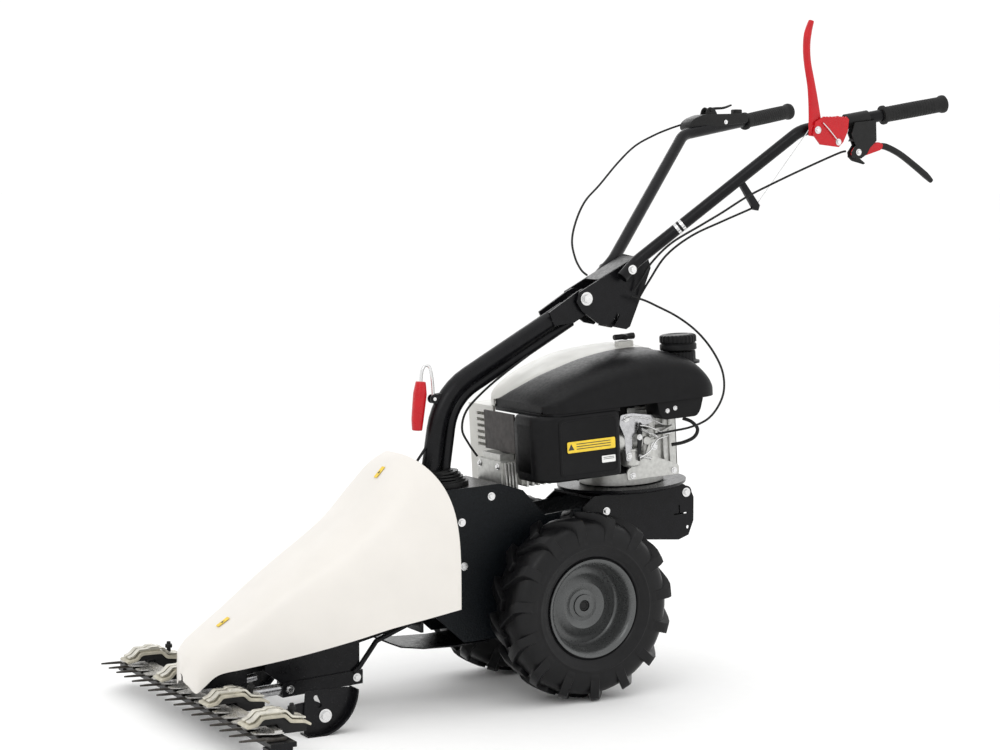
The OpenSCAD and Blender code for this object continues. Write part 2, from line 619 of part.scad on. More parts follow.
module grips() color("#1c1c1c") ground_frame() both_sides() {
    along = unit(grip_out - grip_in);
    difference() {
        union() {
            rod(grip_in, grip_out, grip_d / 2);
            rod(grip_in, grip_in + along * 8, grip_d / 2 + 4);
            rod(grip_out - along * 12, grip_out + along * 3, grip_d / 2 + 2.5);
        }
        rod(grip_in - along, grip_out + along * 0.2, bar_tube_d / 2 + fit);
    }
}
module bracket_bolts() color("silver") ground_frame() {
    rod_x(tilt_axis.y, tilt_axis.z, 6, -42, 42);
    hex_bolt_x(586, 1212, 283.1, 5);
    both_sides() {
        hex_bolt_x(tilt_axis.y, tilt_axis.z, 34.1, 10);
        hex_bolt_x(187, 929, 63.7, 7);
        rod_x(187, 929, 5, 28, 66);
    }
}
module lever_mount() color("#d1121b") ground_frame() difference() {
    union() {
        rod(bar_bend + bar_dir * 34, bar_bend + bar_dir * 96, 17);
        block([250, 548, 1226], [268, 560, 1240]);
        side_slab(262, 268) polygon([[520, 1226], [560, 1226], [560, 1240], [540, 1252],
            [520, 1250]]);
        rod_x(lever_axis.y, lever_axis.z, 5, 264, 286);
        block([256, 590, 1240], [283, 606, 1248]);
        side_slab(279, 283) difference() {
            polygon([[518, 1228], [538, 1206], [588, 1201], [600, 1212], [612, 1236], [615, 1262],
                [608, 1269], [546, 1268], [524, 1256]]);
            for (y = [551 : 9 : 605]) translate([y, 1270]) circle(3.2);
        }
    }
    rod(bar_bend + bar_dir * 20, bar_bend + bar_dir * 120, bar_tube_d / 2 + fit);
}
module drive_lever() color("#d1121b") ground_frame() {
    difference() {
        side_slab(270.3, 276.7) polygon([[520, 1222], [540, 1222], [552, 1240], [548, 1268],
            [536, 1300], [524, 1340], [512, 1400], [514, 1440], [524, 1474], [519, 1480],
            [508, 1479], [502, 1468], [496, 1440], [496, 1400], [505, 1340], [512, 1300],
            [506, 1260], [508, 1234]]);
        rod_x(lever_axis.y, lever_axis.z, 5 + fit, 260, 290);
    }
    side_slab(266, 281) polygon([[497, 1400], [511, 1400], [513, 1440], [522, 1472],
        [510, 1477], [503, 1467], [498, 1440]]);
}
module clutch_mount() color("#161616") ground_frame() {
    difference() {
        union() {
            rod(bar_bend + bar_dir * 112, bar_bend + bar_dir * 168, 17.5);
            for (x = [268, 283]) side_slab(x, x + 3) difference() {
                polygon([[630, 1256], [622, 1232], [634, 1206], [622, 1190], [624, 1178],
                    [648, 1176], [664, 1186], [672, 1200], [690, 1216], [688, 1262]]);
                translate([clutch_axis.y, clutch_axis.z]) circle(4 + fit);
            }
            side_slab(268, 286) polygon([[624, 1214], [630, 1214], [640, 1226], [634, 1230]]);
        }
        rod(bar_bend + bar_dir * 100, bar_bend + bar_dir * 180, bar_tube_d / 2 + fit);
    }
    side_slab(268, 271) polygon([[624, 1180], [634, 1172], [668, 1166], [650, 1180]]);
}
module clutch_lever() color("#d1121b") ground_frame() {
    side_slab(271.5, 282.5) polygon([[628, 1184], [634, 1199], [652, 1203], [700, 1212],
        [712, 1206], [706, 1196], [668, 1184], [640, 1178]]);
    rod_x(clutch_axis.y, clutch_axis.z, 4, 267, 288);
    side_slab(273, 281) polygon([[700, 1211], [714, 1214], [790, 1178], [852, 1136], [858, 1126],
        [850, 1120], [784, 1164], [706, 1198]]);
}
module throttle_case() color("#161616") ground_frame() difference() {
    union() {
        side_slab(-288, -242) polygon([[537, 1249], [537, 1266], [552, 1278], [580, 1288],
            [700, 1292], [708, 1286], [706, 1270], [600, 1256]]);
        for (x = [-279, -255]) side_slab(x, x + 4) polygon([[590, 1286], [594, 1300], [602, 1306],
            [614, 1302], [622, 1290]]);
    }
    mirror([1, 0, 0]) rod(bar_bend - bar_dir * 20, grip_in, bar_tube_d / 2 + fit);
    mirror([1, 0, 0]) rod(bar_knee, bar_bend, bar_tube_d / 2 + 0.3);
    rod_x(604, 1299, 4 + fit, -290, -240);
}
module cable_clips() color("silver") ground_frame() {
    lean = unit(bar_bend - bar_knee);
    for (t = [115, 128]) difference() {
        rod(bar_knee + lean * t, bar_knee + lean * (t + 7), 15.5);
        rod(bar_knee + lean * (t - 1), bar_knee + lean * (t + 8), bar_tube_d / 2 + fit);
    }
}
module throttle_lever() color("#161616") ground_frame() {
    rod_x(604, 1299, 4, -280, -250);
    side_slab(-272, -258) polygon([[598, 1296], [598, 1302], [606, 1304], [650, 1307], [668, 1313],
        [672, 1309], [656, 1298], [640, 1295]]);
}
module handle_cables() color("#101010") ground_frame() {
    cable(throttle_route, 2.5, 2);
    cable(clutch_route, 2.5, 2);
    cable(drive_route, 2.5, 2);
    cable(drive_wire_route, 1, 4);
}

side_plates();
gearbox_case();
gearbox_cover();
belly_guard();
rear_bracket();
bearings();
frame_bolts();
axle_shaft();
worm_wheel();
worm_shaft();
driven_pulley();
crank_pulley();
drive_belt();
left_tyre();
right_tyre();
left_rim();
right_rim();
carrier_beam();
knife_drive_case();
rocker_arm();
support_rods();
bar_beam();
guard_fingers();
knife_blades();
knife_head();
knife_holders();
left_skid();
right_skid();
hood();
warning_labels();
engine_flange();
engine_block();
cylinder_head();
engine_front_cover();
fan_shroud();
fuel_tank();
fuel_cap();
air_box();
exhaust_shield();
carburettor();
fuel_hose();
starter_grip();
throttle_cable();
column_base();
column_tubes();
column_cable();
lock_lever();
handle_bracket();
left_bar();
right_bar();
grips();
bracket_bolts();
lever_mount();
drive_lever();
clutch_mount();
clutch_lever();
throttle_case();
throttle_lever();
cable_clips();
handle_cables();
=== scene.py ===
"""Looks of the brush mower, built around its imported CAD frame.

Lengths are in metres unless a name or a note says mm."""
import json
import math

import bmesh
import bpy
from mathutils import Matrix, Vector


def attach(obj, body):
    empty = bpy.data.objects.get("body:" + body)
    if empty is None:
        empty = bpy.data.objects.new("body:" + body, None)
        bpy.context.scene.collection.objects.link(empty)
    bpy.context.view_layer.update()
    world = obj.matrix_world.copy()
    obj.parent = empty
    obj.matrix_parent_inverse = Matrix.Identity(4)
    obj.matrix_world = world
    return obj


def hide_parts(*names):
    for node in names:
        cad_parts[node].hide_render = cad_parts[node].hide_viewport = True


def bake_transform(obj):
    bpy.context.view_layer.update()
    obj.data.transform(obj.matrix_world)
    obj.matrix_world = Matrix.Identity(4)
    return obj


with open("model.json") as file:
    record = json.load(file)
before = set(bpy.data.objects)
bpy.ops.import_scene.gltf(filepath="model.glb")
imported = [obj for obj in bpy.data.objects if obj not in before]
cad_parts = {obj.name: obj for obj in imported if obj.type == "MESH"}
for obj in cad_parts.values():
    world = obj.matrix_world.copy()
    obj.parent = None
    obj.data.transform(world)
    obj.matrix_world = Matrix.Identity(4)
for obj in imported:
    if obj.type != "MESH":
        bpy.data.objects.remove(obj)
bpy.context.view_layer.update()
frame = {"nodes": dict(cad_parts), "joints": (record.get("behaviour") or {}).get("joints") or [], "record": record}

MM = 0.001
JOINTS = {j["name"]: j for j in frame["joints"]}
SLOT_OF = {s["node"]: s["material_slot"] for s in frame["record"]["subparts"]}

# The wheel axle sets both of the frames that the parts are drawn in
AXLE = Vector(JOINTS["left_wheel_spin"]["pos_m"])
NOSE_DOWN = math.radians(3.3)

# Camera, at the photographed angle
CAMERA_PLACE = (4.4031, -2.4839, 1.1134)
CAMERA_YAW = math.radians(28.40875)
CAMERA_PITCH = math.radians(4.7165)
CAMERA_LENS_MM = 82.16
FLOOR_REACH = 400


def ground(x, y, z):
    """A point from millimetres left of the middle, behind the axle and above the ground."""
    return Vector((x * MM, y * MM + AXLE.y, z * MM))


def chassis(x, y, z):
    """A point from millimetres in the chassis frame, which leans forward about the axle."""
    c, s = math.cos(NOSE_DOWN), math.sin(NOSE_DOWN)
    return Vector((x * MM, (y * c - z * s) * MM + AXLE.y, (y * s + z * c) * MM + AXLE.z))


LEFT, UP = (1, 0, 0), (0, 0, 1)
CHASSIS_UP = chassis(0, 0, 1) - chassis(0, 0, 0)
CHASSIS_BACK = chassis(0, 1, 0) - chassis(0, 0, 0)


# ---------------------------------------------------------------- studio
def make_camera():
    """The camera of the main picture."""
    data = bpy.data.cameras.new("camera")
    data.lens = CAMERA_LENS_MM
    data.sensor_width = 36
    camera = bpy.data.objects.new("camera", data)
    bpy.context.scene.collection.objects.link(camera)
    camera.location = CAMERA_PLACE
    flat = math.cos(CAMERA_PITCH)
    aim = Vector((-math.cos(CAMERA_YAW) * flat, math.sin(CAMERA_YAW) * flat, -math.sin(CAMERA_PITCH)))
    camera.rotation_euler = aim.to_track_quat("-Z", "Y").to_euler()
    bpy.context.scene.camera = camera


def make_light(name, place, aim, size, watts):
    """A soft rectangular lamp at place, turned to its aim."""
    data = bpy.data.lights.new(name, "AREA")
    data.shape = "RECTANGLE"
    data.size, data.size_y = size
    data.energy = watts
    light = bpy.data.objects.new(name, data)
    bpy.context.scene.collection.objects.link(light)
    light.location = place
    light.rotation_euler = (Vector(aim) - Vector(place)).to_track_quat("-Z", "Y").to_euler()


def make_studio():
    """A white world, a pale floor and four soft lamps."""
    scene = bpy.context.scene
    world = bpy.data.worlds.new("studio")
    world.use_nodes = True
    background = world.node_tree.nodes["Background"]
    background.inputs["Color"].default_value = (1, 1, 1, 1)
    background.inputs["Strength"].default_value = 1.07
    scene.world = world
    scene.view_settings.view_transform = "Standard"
    mesh = bpy.data.meshes.new("floor")
    corners = [(x * FLOOR_REACH, y * FLOOR_REACH, 0) for x, y in ((-1, -1), (1, -1), (1, 1), (-1, 1))]
    mesh.from_pydata(corners, [], [(0, 1, 2, 3)])
    floor = bpy.data.objects.new("floor", mesh)
    scene.collection.objects.link(floor)
    mesh.materials.append(surface("floor_paper", (0.95, 0.95, 0.945), 0.8, grain=(30, 0.008)))
    target = (0, 0, 0.6)
    make_light("key", (3.4, -3.2, 3.6), target, (2.6, 2.0), 34)
    make_light("fill", (3.6, 2.8, 1.8), target, (2.4, 2.4), 6)
    make_light("top", (0, 0, 4.2), target, (3.4, 3.4), 14)
    make_light("rim", (-3.4, 1.6, 2.6), target, (2.0, 2.4), 20)


# ---------------------------------------------------------------- materials
def surface(name, color, rough, metal=0.0, grain=(60, 0.1), bump=None, wear=None, round_mm=0.0, shine=0.5):
    """A procedural finish: uneven colour and roughness, a bump, rounded edges and wear along them.

    grain is (noise scale, share of the colour that varies); bump is (noise scale, strength, depth in
    metres); wear is (colour, share of an edge that is worn); shine is the strength of the reflection."""
    material = bpy.data.materials.new(name)
    material.use_nodes = True
    nodes, links = material.node_tree.nodes, material.node_tree.links
    shader = nodes["Principled BSDF"]
    shader.inputs["Metallic"].default_value = metal
    shader.inputs["Specular IOR Level"].default_value = shine
    place = nodes.new("ShaderNodeTexCoord").outputs["Object"]

    def noise(scale, detail=5.0):
        node = nodes.new("ShaderNodeTexNoise")
        node.inputs["Scale"].default_value = scale
        node.inputs["Detail"].default_value = detail
        links.new(place, node.inputs["Vector"])
        return node.outputs["Fac"]

    def ranged(value, low, high, out_low, out_high):
        node = nodes.new("ShaderNodeMapRange")
        for socket, number in zip(("From Min", "From Max", "To Min", "To Max"), (low, high, out_low,
                                                                                 out_high)):
            node.inputs[socket].default_value = number
        links.new(value, node.inputs["Value"])
        return node.outputs["Result"]

    def mixed(factor, a, b):
        node = nodes.new("ShaderNodeMix")
        node.data_type = "RGBA"
        links.new(factor, node.inputs["Factor"])
        for socket, value in ((node.inputs["A"], a), (node.inputs["B"], b)):
            if isinstance(value, tuple):
                socket.default_value = (*value, 1)
            else:
                links.new(value, socket)
        return node.outputs["Result"]

    share = grain[1]
    dark, light = (tuple(min(1, c * (1 + sign * share)) for c in color) for sign in (-1, 1))
    uneven = noise(grain[0])
    base = mixed(ranged(uneven, 0.3, 0.7, 0, 1), dark, light)
    roughness = ranged(noise(grain[0] * 2.3), 0.3, 0.7, max(0.03, rough - 0.06), min(1, rough + 0.08))
    normal = None
    if round_mm:
        bevel = nodes.new("ShaderNodeBevel")
        bevel.samples = 4
        bevel.inputs["Radius"].default_value = round_mm * MM
        normal = bevel.outputs["Normal"]
    if wear and round_mm:
        dot = nodes.new("ShaderNodeVectorMath")
        dot.operation = "DOT_PRODUCT"
        links.new(normal, dot.inputs[0])
        links.new(nodes.new("ShaderNodeNewGeometry").outputs["Normal"], dot.inputs[1])
        edge = ranged(dot.outputs["Value"], 0.80, 0.96, 1, 0)
        patch = ranged(noise(140), 0.62 - wear[1] * 0.3, 0.72, 0, 1)
        product = nodes.new("ShaderNodeMath")
        product.operation = "MULTIPLY"
        links.new(edge, product.inputs[0])
        links.new(patch, product.inputs[1])
        base = mixed(product.outputs["Value"], base, wear[0])
    links.new(base, shader.inputs["Base Color"])
    links.new(roughness, shader.inputs["Roughness"])
    if bump:
        node = nodes.new("ShaderNodeBump")
        node.inputs["Strength"].default_value = bump[1]
        node.inputs["Distance"].default_value = bump[2]
        links.new(noise(bump[0], 3), node.inputs["Height"])
        if normal:
            links.new(normal, node.inputs["Normal"])
        normal = node.outputs["Normal"]
    if normal:
        links.new(normal, shader.inputs["Normal"])
    return material


BARE_STEEL = (0.35, 0.35, 0.35)


def make_finishes():
    """One finish for each material slot of the record, and three more."""
    return {
        "frame_black": surface("powder_black", (0.004, 0.004, 0.005), 0.3, grain=(50, 0.3), shine=0.2,
                               bump=(900, 0.12, 0.0004), wear=(BARE_STEEL, 0.1), round_mm=0.9),
        "gear_iron": surface("wrinkle_black", (0.003, 0.0045, 0.006), 0.4, grain=(260, 0.5), shine=0.2,
                             bump=(240, 0.9, 0.0018), round_mm=1.2),
        "hood_white": surface("hood_plastic", (0.76, 0.73, 0.685), 0.36, grain=(9, 0.025),
                              bump=(1400, 0.05, 0.0002)),
        "label_yellow": surface("label_yellow", (0.80, 0.56, 0.03), 0.42, grain=(80, 0.08)),
        "tyre_rubber": surface("tyre_rubber", (0.004, 0.004, 0.0045), 0.36, grain=(45, 0.3), shine=0.24,
                               bump=(520, 0.25, 0.0006)),
        "rim_grey": surface("rim_paint", (0.10, 0.103, 0.103), 0.3, metal=0.7, grain=(70, 0.03)),
        "bar_steel": surface("rolled_steel", (0.33, 0.32, 0.31), 0.42, metal=0.9, grain=(40, 0.25),
                             bump=(300, 0.15, 0.0003), round_mm=0.6),
        "blade_steel": surface("blade_steel", (0.56, 0.55, 0.53), 0.28, metal=1.0, grain=(90, 0.15),
                               bump=(500, 0.12, 0.0002), round_mm=0.4),
        "finger_steel": surface("finger_steel", (0.055, 0.05, 0.045), 0.45, metal=0.7, grain=(110, 0.35),
                                bump=(420, 0.25, 0.0004), wear=((0.4, 0.39, 0.37), 0.5), round_mm=0.8),
        "holder_plated": surface("zinc_plate", (0.62, 0.60, 0.53), 0.3, metal=0.9, grain=(60, 0.18),
                                 bump=(240, 0.12, 0.0003), round_mm=0.8),
        "holder_cast": surface("cream_plate", (0.50, 0.47, 0.38), 0.42, metal=0.35, grain=(50, 0.2),
                               bump=(220, 0.2, 0.0004), wear=((0.06, 0.05, 0.045), 0.9), round_mm=1.2),
        "label_ink": surface("label_ink", (0.03, 0.03, 0.03), 0.5, grain=(200, 0.2)),
        "label_white": surface("label_white", (0.78, 0.78, 0.76), 0.4, grain=(90, 0.04)),
        "bolt_chrome": surface("bright_zinc", (0.72, 0.72, 0.72), 0.16, metal=1.0, grain=(200, 0.08),
                               round_mm=0.5),
        "shaft_steel": surface("turned_steel", (0.5, 0.5, 0.51), 0.27, metal=1.0, grain=(120, 0.12),
                               round_mm=0.5),
        "gear_brass": surface("bronze", (0.6, 0.4, 0.16), 0.35, metal=1.0, grain=(90, 0.15), round_mm=0.5),
        "belt_rubber": surface("belt_cloth", (0.012, 0.012, 0.012), 0.8, grain=(400, 0.4), shine=0.2,
                               bump=(900, 0.4, 0.0004)),
        "engine_alu": surface("cast_alloy", (0.52, 0.52, 0.50), 0.4, metal=0.85, grain=(120, 0.12),
                              bump=(420, 0.14, 0.0003), round_mm=1.2),
        "engine_black": surface("moulded_black", (0.004, 0.004, 0.0045), 0.4, grain=(60, 0.2), shine=0.16,
                                bump=(1300, 0.16, 0.0003), round_mm=1.5),
        "shroud_grey": surface("shroud_pale", (0.58, 0.575, 0.54), 0.35, grain=(20, 0.04),
                               bump=(1100, 0.06, 0.0002), round_mm=1.5),
        "panel_brown": surface("heat_shield", (0.035, 0.03, 0.028), 0.5, metal=0.4, grain=(45, 0.3),
                               bump=(260, 0.2, 0.0004), round_mm=0.8),
        "cable_black": surface("cable_sheath", (0.006, 0.006, 0.006), 0.42, grain=(200, 0.2), shine=0.25,
                               bump=(900, 0.1, 0.0002)),
        "grip_rubber": surface("grip_rubber", (0.011, 0.011, 0.011), 0.6, grain=(90, 0.2), shine=0.25,
                               bump=(800, 0.3, 0.0005)),
        "lever_red": surface("control_red", (0.50, 0.004, 0.010), 0.3, grain=(40, 0.08), shine=0.35,
                             bump=(900, 0.05, 0.0002), round_mm=1.0),
        "lever_black": surface("control_black", (0.008, 0.008, 0.008), 0.42, grain=(80, 0.2), shine=0.25,
                               bump=(1100, 0.15, 0.0003), round_mm=0.8),
    }


def make_softener():
    """A modifier that joins a mesh's split corners and shades it smooth except across real edges."""
    tree = bpy.data.node_groups.new("soften", "GeometryNodeTree")
    tree.interface.new_socket("Geometry", in_out="INPUT", socket_type="NodeSocketGeometry")
    tree.interface.new_socket("Geometry", in_out="OUTPUT", socket_type="NodeSocketGeometry")
    add, link = tree.nodes.new, tree.links.new
    start, end = add("NodeGroupInput"), add("NodeGroupOutput")
    drop = add("GeometryNodeRemoveAttribute")
    drop.inputs["Name"].default_value = "custom_normal"
    merge = add("GeometryNodeMergeByDistance")
    merge.inputs["Distance"].default_value = 2e-5
    angle, below = add("GeometryNodeInputMeshEdgeAngle"), add("FunctionNodeCompare")
    below.operation = "LESS_THAN"
    below.inputs["B"].default_value = math.radians(36)
    link(angle.outputs["Unsigned Angle"], below.inputs["A"])
    edges, faces = add("GeometryNodeSetShadeSmooth"), add("GeometryNodeSetShadeSmooth")
    edges.domain, faces.domain = "EDGE", "FACE"
    link(below.outputs["Result"], edges.inputs["Shade Smooth"])
    for a, b in ((start, drop), (drop, merge), (merge, edges), (edges, faces), (faces, end)):
        link(a.outputs[0], b.inputs[0])
    return tree


def soften(obj):
    """Puts the shared softening modifier on a piece."""
    obj.modifiers.new("soften", "NODES").node_group = SOFTENER


def finish_node(name, material):
    """Gives a CAD node its finish and smooth shading."""
    node = frame["nodes"][name]
    node.data.materials.clear()
    node.data.materials.append(material)
    soften(node)


# ---------------------------------------------------------------- mesh tools
def piece(name, shape, finish, body, replaces=(), edge_mm=0.0, skin_mm=0.0):
    """A new mesh piece from (vertices, faces), with rounded edges or a skin, riding on a body."""
    vertices, faces = shape
    mesh = bpy.data.meshes.new(name)
    mesh.from_pydata([tuple(v) for v in vertices], [], faces)
    work = bmesh.new()
    work.from_mesh(mesh)
    bmesh.ops.recalc_face_normals(work, faces=work.faces)
    work.to_mesh(mesh)
    work.free()
    obj = bpy.data.objects.new(name, mesh)
    bpy.context.scene.collection.objects.link(obj)
    mesh.materials.append(FINISH[finish])
    if skin_mm:
        skin = obj.modifiers.new("skin", "SOLIDIFY")
        skin.thickness = skin_mm * MM
        skin.offset = -1
    if edge_mm:
        bevel = obj.modifiers.new("edges", "BEVEL")
        bevel.width = edge_mm * MM
        bevel.segments = 3
        bevel.limit_method = "ANGLE"
        bevel.angle_limit = math.radians(32)
    soften(obj)
    if body:
        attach(obj, body)
    if replaces:
        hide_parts(*replaces)
    return obj


def together(*shapes):
    """Several (vertices, faces) as one."""
    vertices, faces = [], []
    for more_vertices, more_faces in shapes:
        start = len(vertices)
        vertices += list(more_vertices)
        faces += [tuple(start + i for i in face) for face in more_faces]
    return vertices, faces


def grid(rows, closed=False):
    """A sheet of faces over rows of points; closed joins each row's end to its start."""
    count = len(rows[0])
    span = count if closed else count - 1
    faces = [(j * count + i, j * count + (i + 1) % count, (j + 1) * count + (i + 1) % count,
              (j + 1) * count + i)
             for j in range(len(rows) - 1) for i in range(span)]
    return [p for row in rows for p in row], faces


def capped(rows):
    """A closed skin over rings of points, with a flat cap at each end."""
    vertices, faces = grid(rows, closed=True)
    count = len(rows[0])
    faces.append(tuple(reversed(range(count))))
    faces.append(tuple(range((len(rows) - 1) * count, len(rows) * count)))
    return vertices, faces


def spline(points, steps):
    """A smooth curve through the points."""
    out = []
    for i in range(len(points) - 1):
        a, b = points[max(i - 1, 0)], points[i]
        c, d = points[i + 1], points[min(i + 2, len(points) - 1)]
        for k in range(steps):
            t = k / steps
            out.append(0.5 * ((2 * b) + (c - a) * t + (2 * a - 5 * b + 4 * c - d) * t * t
                              + (3 * b - a - 3 * c + d) * t * t * t))
    return out + [points[-1]]


def along(values, t):
    """The value at share t of an evenly spaced list."""
    place = t * (len(values) - 1)
    i = min(int(place), len(values) - 2)
    return values[i] + (values[i + 1] - values[i]) * (place - i)


def sweep(path, wide_mm, deep_mm=None, sides=20, square=1.0):
    """A bar along a path. wide_mm and deep_mm are half sizes from start to end; square below 1 squares it."""
    deep_mm = deep_mm or wide_mm
    rings = []
    last = len(path) - 1
    for i, place in enumerate(path):
        ahead = (path[min(i + 1, last)] - path[max(i - 1, 0)]).normalized()
        side = Vector((1, 0.02, 0.01))
        side = (side - ahead * side.dot(ahead)).normalized()
        deep = ahead.cross(side)
        wide, thick = along(wide_mm, i / last) * MM, along(deep_mm, i / last) * MM
        ring = []
        for k in range(sides):
            c, s = math.cos(2 * math.pi * k / sides), math.sin(2 * math.pi * k / sides)
            c, s = (math.copysign(abs(v) ** square, v) for v in (c, s))
            ring.append(place + side * (wide * c) + deep * (thick * s))
        rings.append(ring)
    return capped(rings)


def spun(profile, place, axis, sides=64, ripple=lambda turn, r, t: r):
    """A solid of revolution: profile is (radius mm, distance mm along the axis from place)."""
    axis = Vector(axis).normalized()
    side = axis.orthogonal().normalized()
    deep = axis.cross(side)
    rows = []
    for r, t in profile:
        row = []
        for k in range(sides):
            turn = 2 * math.pi * k / sides
            radius = ripple(turn, r, t) * MM
            row.append(place + axis * (t * MM) + side * (radius * math.cos(turn))
                       + deep * (radius * math.sin(turn)))
        rows.append(row)
    return capped(rows)


def side_plate(outline, x0, x1, place=None):
    """A side profile in (y, z) mm, thickened across the machine from x0 to x1."""
    place = place or ground
    return capped([[place(x, y, z) for y, z in outline] for x in (x0, x1)])


def box(low_corner, high_corner, place=None):
    """A block between two corners in mm."""
    (x0, y0, z0), (x1, y1, z1) = low_corner, high_corner
    return side_plate([(y0, z0), (y1, z0), (y1, z1), (y0, z1)], x0, x1, place)


def rounded(outline, radius, steps=6):
    """An outline with its corners turned into arcs."""
    out = []
    for i, here in enumerate(outline):
        before, after = Vector(outline[i - 1]), Vector(outline[(i + 1) % len(outline)])
        corner = Vector(here)
        back, on = before - corner, after - corner
        reach = min(radius, back.length * 0.48, on.length * 0.48)
        a, b = corner + back.normalized() * reach, corner + on.normalized() * reach
        for k in range(steps + 1):
            t = k / steps
            out.append(tuple(a * (1 - t) ** 2 + corner * (2 * t * (1 - t)) + b * t * t))
    return out


def bolt(place, axis, r, h):
    """A hexagon head with a washer and a rounded crown."""
    washer = spun([(0.1, 0), (r * 1.45, 0), (r * 1.5, 0.4), (r * 1.5, 1.4), (r * 1.4, 1.8), (0.1, 1.8)],
                  place, axis)
    head = spun([(0.1, 1.8), (r, 1.8), (r, h), (r * 0.86, h + r * 0.12), (0.1, h + r * 0.14)], place, axis,
                sides=6)
    return together(washer, head)


# ---------------------------------------------------------------- cables
SIDES_OF_CABLE = 12


def lay_cable(name, route, r_mm, body, finish="cable_black", replaces=(),
              crossing=None):
    """A cable, wire or hose on its CAD route.

    crossing is (far body, start, end) for a cable that passes over a joint; it is only tested for being given, and
    then the cable rides on no body."""
    path = spline([ground(*p) for p in route], 6)
    shape = sweep(path, [r_mm, r_mm], sides=SIDES_OF_CABLE)
    obj = piece(name, shape, finish, None if crossing else body, replaces)
    if crossing:
        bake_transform(obj)


THROTTLE = [(-271, 528, 1262), (-271, 495, 1252), (-268, 450, 1236), (-256, 390, 1210), (-235, 330, 1170),
            (-205, 262, 1118), (-175, 205, 1080), (-148, 165, 1035), (-120, 138, 990), (-92, 130, 952),
            (-62, 128, 926), (-42, 132, 914)]
CLUTCH = [(284, 606, 1192), (280, 585, 1186), (256, 505, 1150), (226, 445, 1118), (202, 396, 1090),
          (176, 350, 1056), (152, 310, 1028), (112, 258, 988), (78, 228, 944), (50, 218, 906), (40, 205, 880)]
DRIVE = [(164, 446, 1068), (162, 420, 1058), (152, 366, 1036), (122, 305, 1004), (88, 260, 960), (54, 238,
                                                                                                  904),
         (42, 222, 870)]
DRIVE_WIRE = [(262, 522, 1240), (164, 446, 1068)]
ENGINE = [(54, 190, 868), (60, 220, 860), (68, 250, 846), (80, 296, 822), (96, 336, 790), (116, 364, 750),
          (142, 376, 704), (166, 366, 662), (184, 340, 628), (194, 304, 600), (190, 262, 584), (178, 220,
                                                                                                576),
          (166, 186, 570)]
COLUMN = [(30, -60, 744), (30, -120, 706), (29, -172, 668), (27, -212, 628), (26, -222, 588), (26, -206, 556),
          (28, -186, 528)]
HOSE = [(152, 266, 600), (160, 284, 592), (166, 296, 576), (162, 290, 558), (150, 270, 546), (134, 248, 540)]


def make_cables():
    """Every control cable and the fuel hose, each on its own route."""
    lay_cable("throttle_line", THROTTLE, 2.5, "handlebar", replaces=("handle_cables",))
    lay_cable("clutch_line", CLUTCH, 2.5, "handlebar", replaces=("handle_cables",))
    lay_cable("drive_line", DRIVE, 2.5, "handlebar", replaces=("handle_cables",))
    lay_cable("drive_wire", DRIVE_WIRE, 1.0, "handlebar", "bolt_chrome", ("handle_cables",))
    lay_cable("engine_line", ENGINE, 2.5, "column", replaces=("throttle_cable",),
              crossing=("chassis", ENGINE[1], ENGINE[-2]))
    lay_cable("column_line", COLUMN, 2.5, "column", replaces=("column_cable",))
    lay_cable("fuel_line", HOSE, 4.0, "chassis", replaces=("fuel_hose",))


# ---------------------------------------------------------------- wheels
TYRE_R, TRACK, LUGS = 205, 324, 15
LUG_LEAN = math.tan(math.radians(37))
# Along one lug: (distance from the tyre's middle, base radius, top radius)
LUG_LINE = [(-5, 184, 203.5), (6, 184, 205), (20, 184, 205), (36, 182, 204.6), (48, 176, 202), (56, 166, 197),
            (59.6, 160, 187), (60.6, 152, 174), (60.4, 146, 158), (59.4, 140, 149)]
# From the rim's seat over the sidewall to the middle of the tread: (radius, distance from the middle)
TYRE_SIDE = [(98, 44), (103, 47), (107, 47.5), (110.5, 48), (112, 51), (115, 53.6), (117, 53.4), (120, 55.6),
             (128, 58.4), (134, 59.8), (135, 60.7), (138, 60.9), (139, 60.0), (147, 60), (156, 59.6), (166,
                                                                                                       58.2),
             (176, 55), (184, 48), (190, 35), (193, 18), (193.5, 0)]


def lug(start_turn, hand):
    """One tread bar: it leans back from the middle, wraps over the shoulder and fades into the sidewall."""
    rows = []
    for u, low_r, high_r in LUG_LINE:
        lean = min(u, 58) * LUG_LEAN
        row = []
        for r, half in ((low_r, 15), (high_r, 11.5)):
            for sign in ((-1, 1) if r == low_r else (1, -1)):
                turn = start_turn - (lean + sign * half) / TYRE_R
                row.append((hand * u * MM, r * MM * math.sin(turn), -r * MM * math.cos(turn)))
        rows.append(row)
    return capped(rows)


def make_wheel(name, side):
    """The tyre with its tread, and a black sleeve in the hub's bore that is painted shade for the recess, on the
    side 1 (left) or -1 (right).
    """
    middle = ground(side * TRACK / 2, 0, TYRE_R)
    outline = TYRE_SIDE + [(r, -x) for r, x in reversed(TYRE_SIDE[:-1])]
    carcass = spun(outline, middle, LEFT, sides=160)
    shapes = [(carcass[0], carcass[1][:-2])]
    for i in range(LUGS):
        for hand in (-1, 1):
            vertices, faces = lug((i + hand * 0.25 + 0.25) * 2 * math.pi / LUGS, hand)
            shapes.append(([Vector(v) + middle for v in vertices], faces))
    body = name + "_wheel"
    piece(name + "_tread", together(*shapes), "tyre_rubber", body, (name + "_tyre",), edge_mm=1.6)
    # A black sleeve inside the hub's bore: painted shade that darkens the recess.
    hub = ground(side * (TRACK / 2 - 11), 0, TYRE_R)
    piece(name + "_hub_shade_sleeve", spun([(7, 0), (12.2, 0), (12.2, 20), (11, 21.4), (8.2, 21.4), (7, 20)], hub,
                                   (side, 0, 0)),
          "lever_black", body)


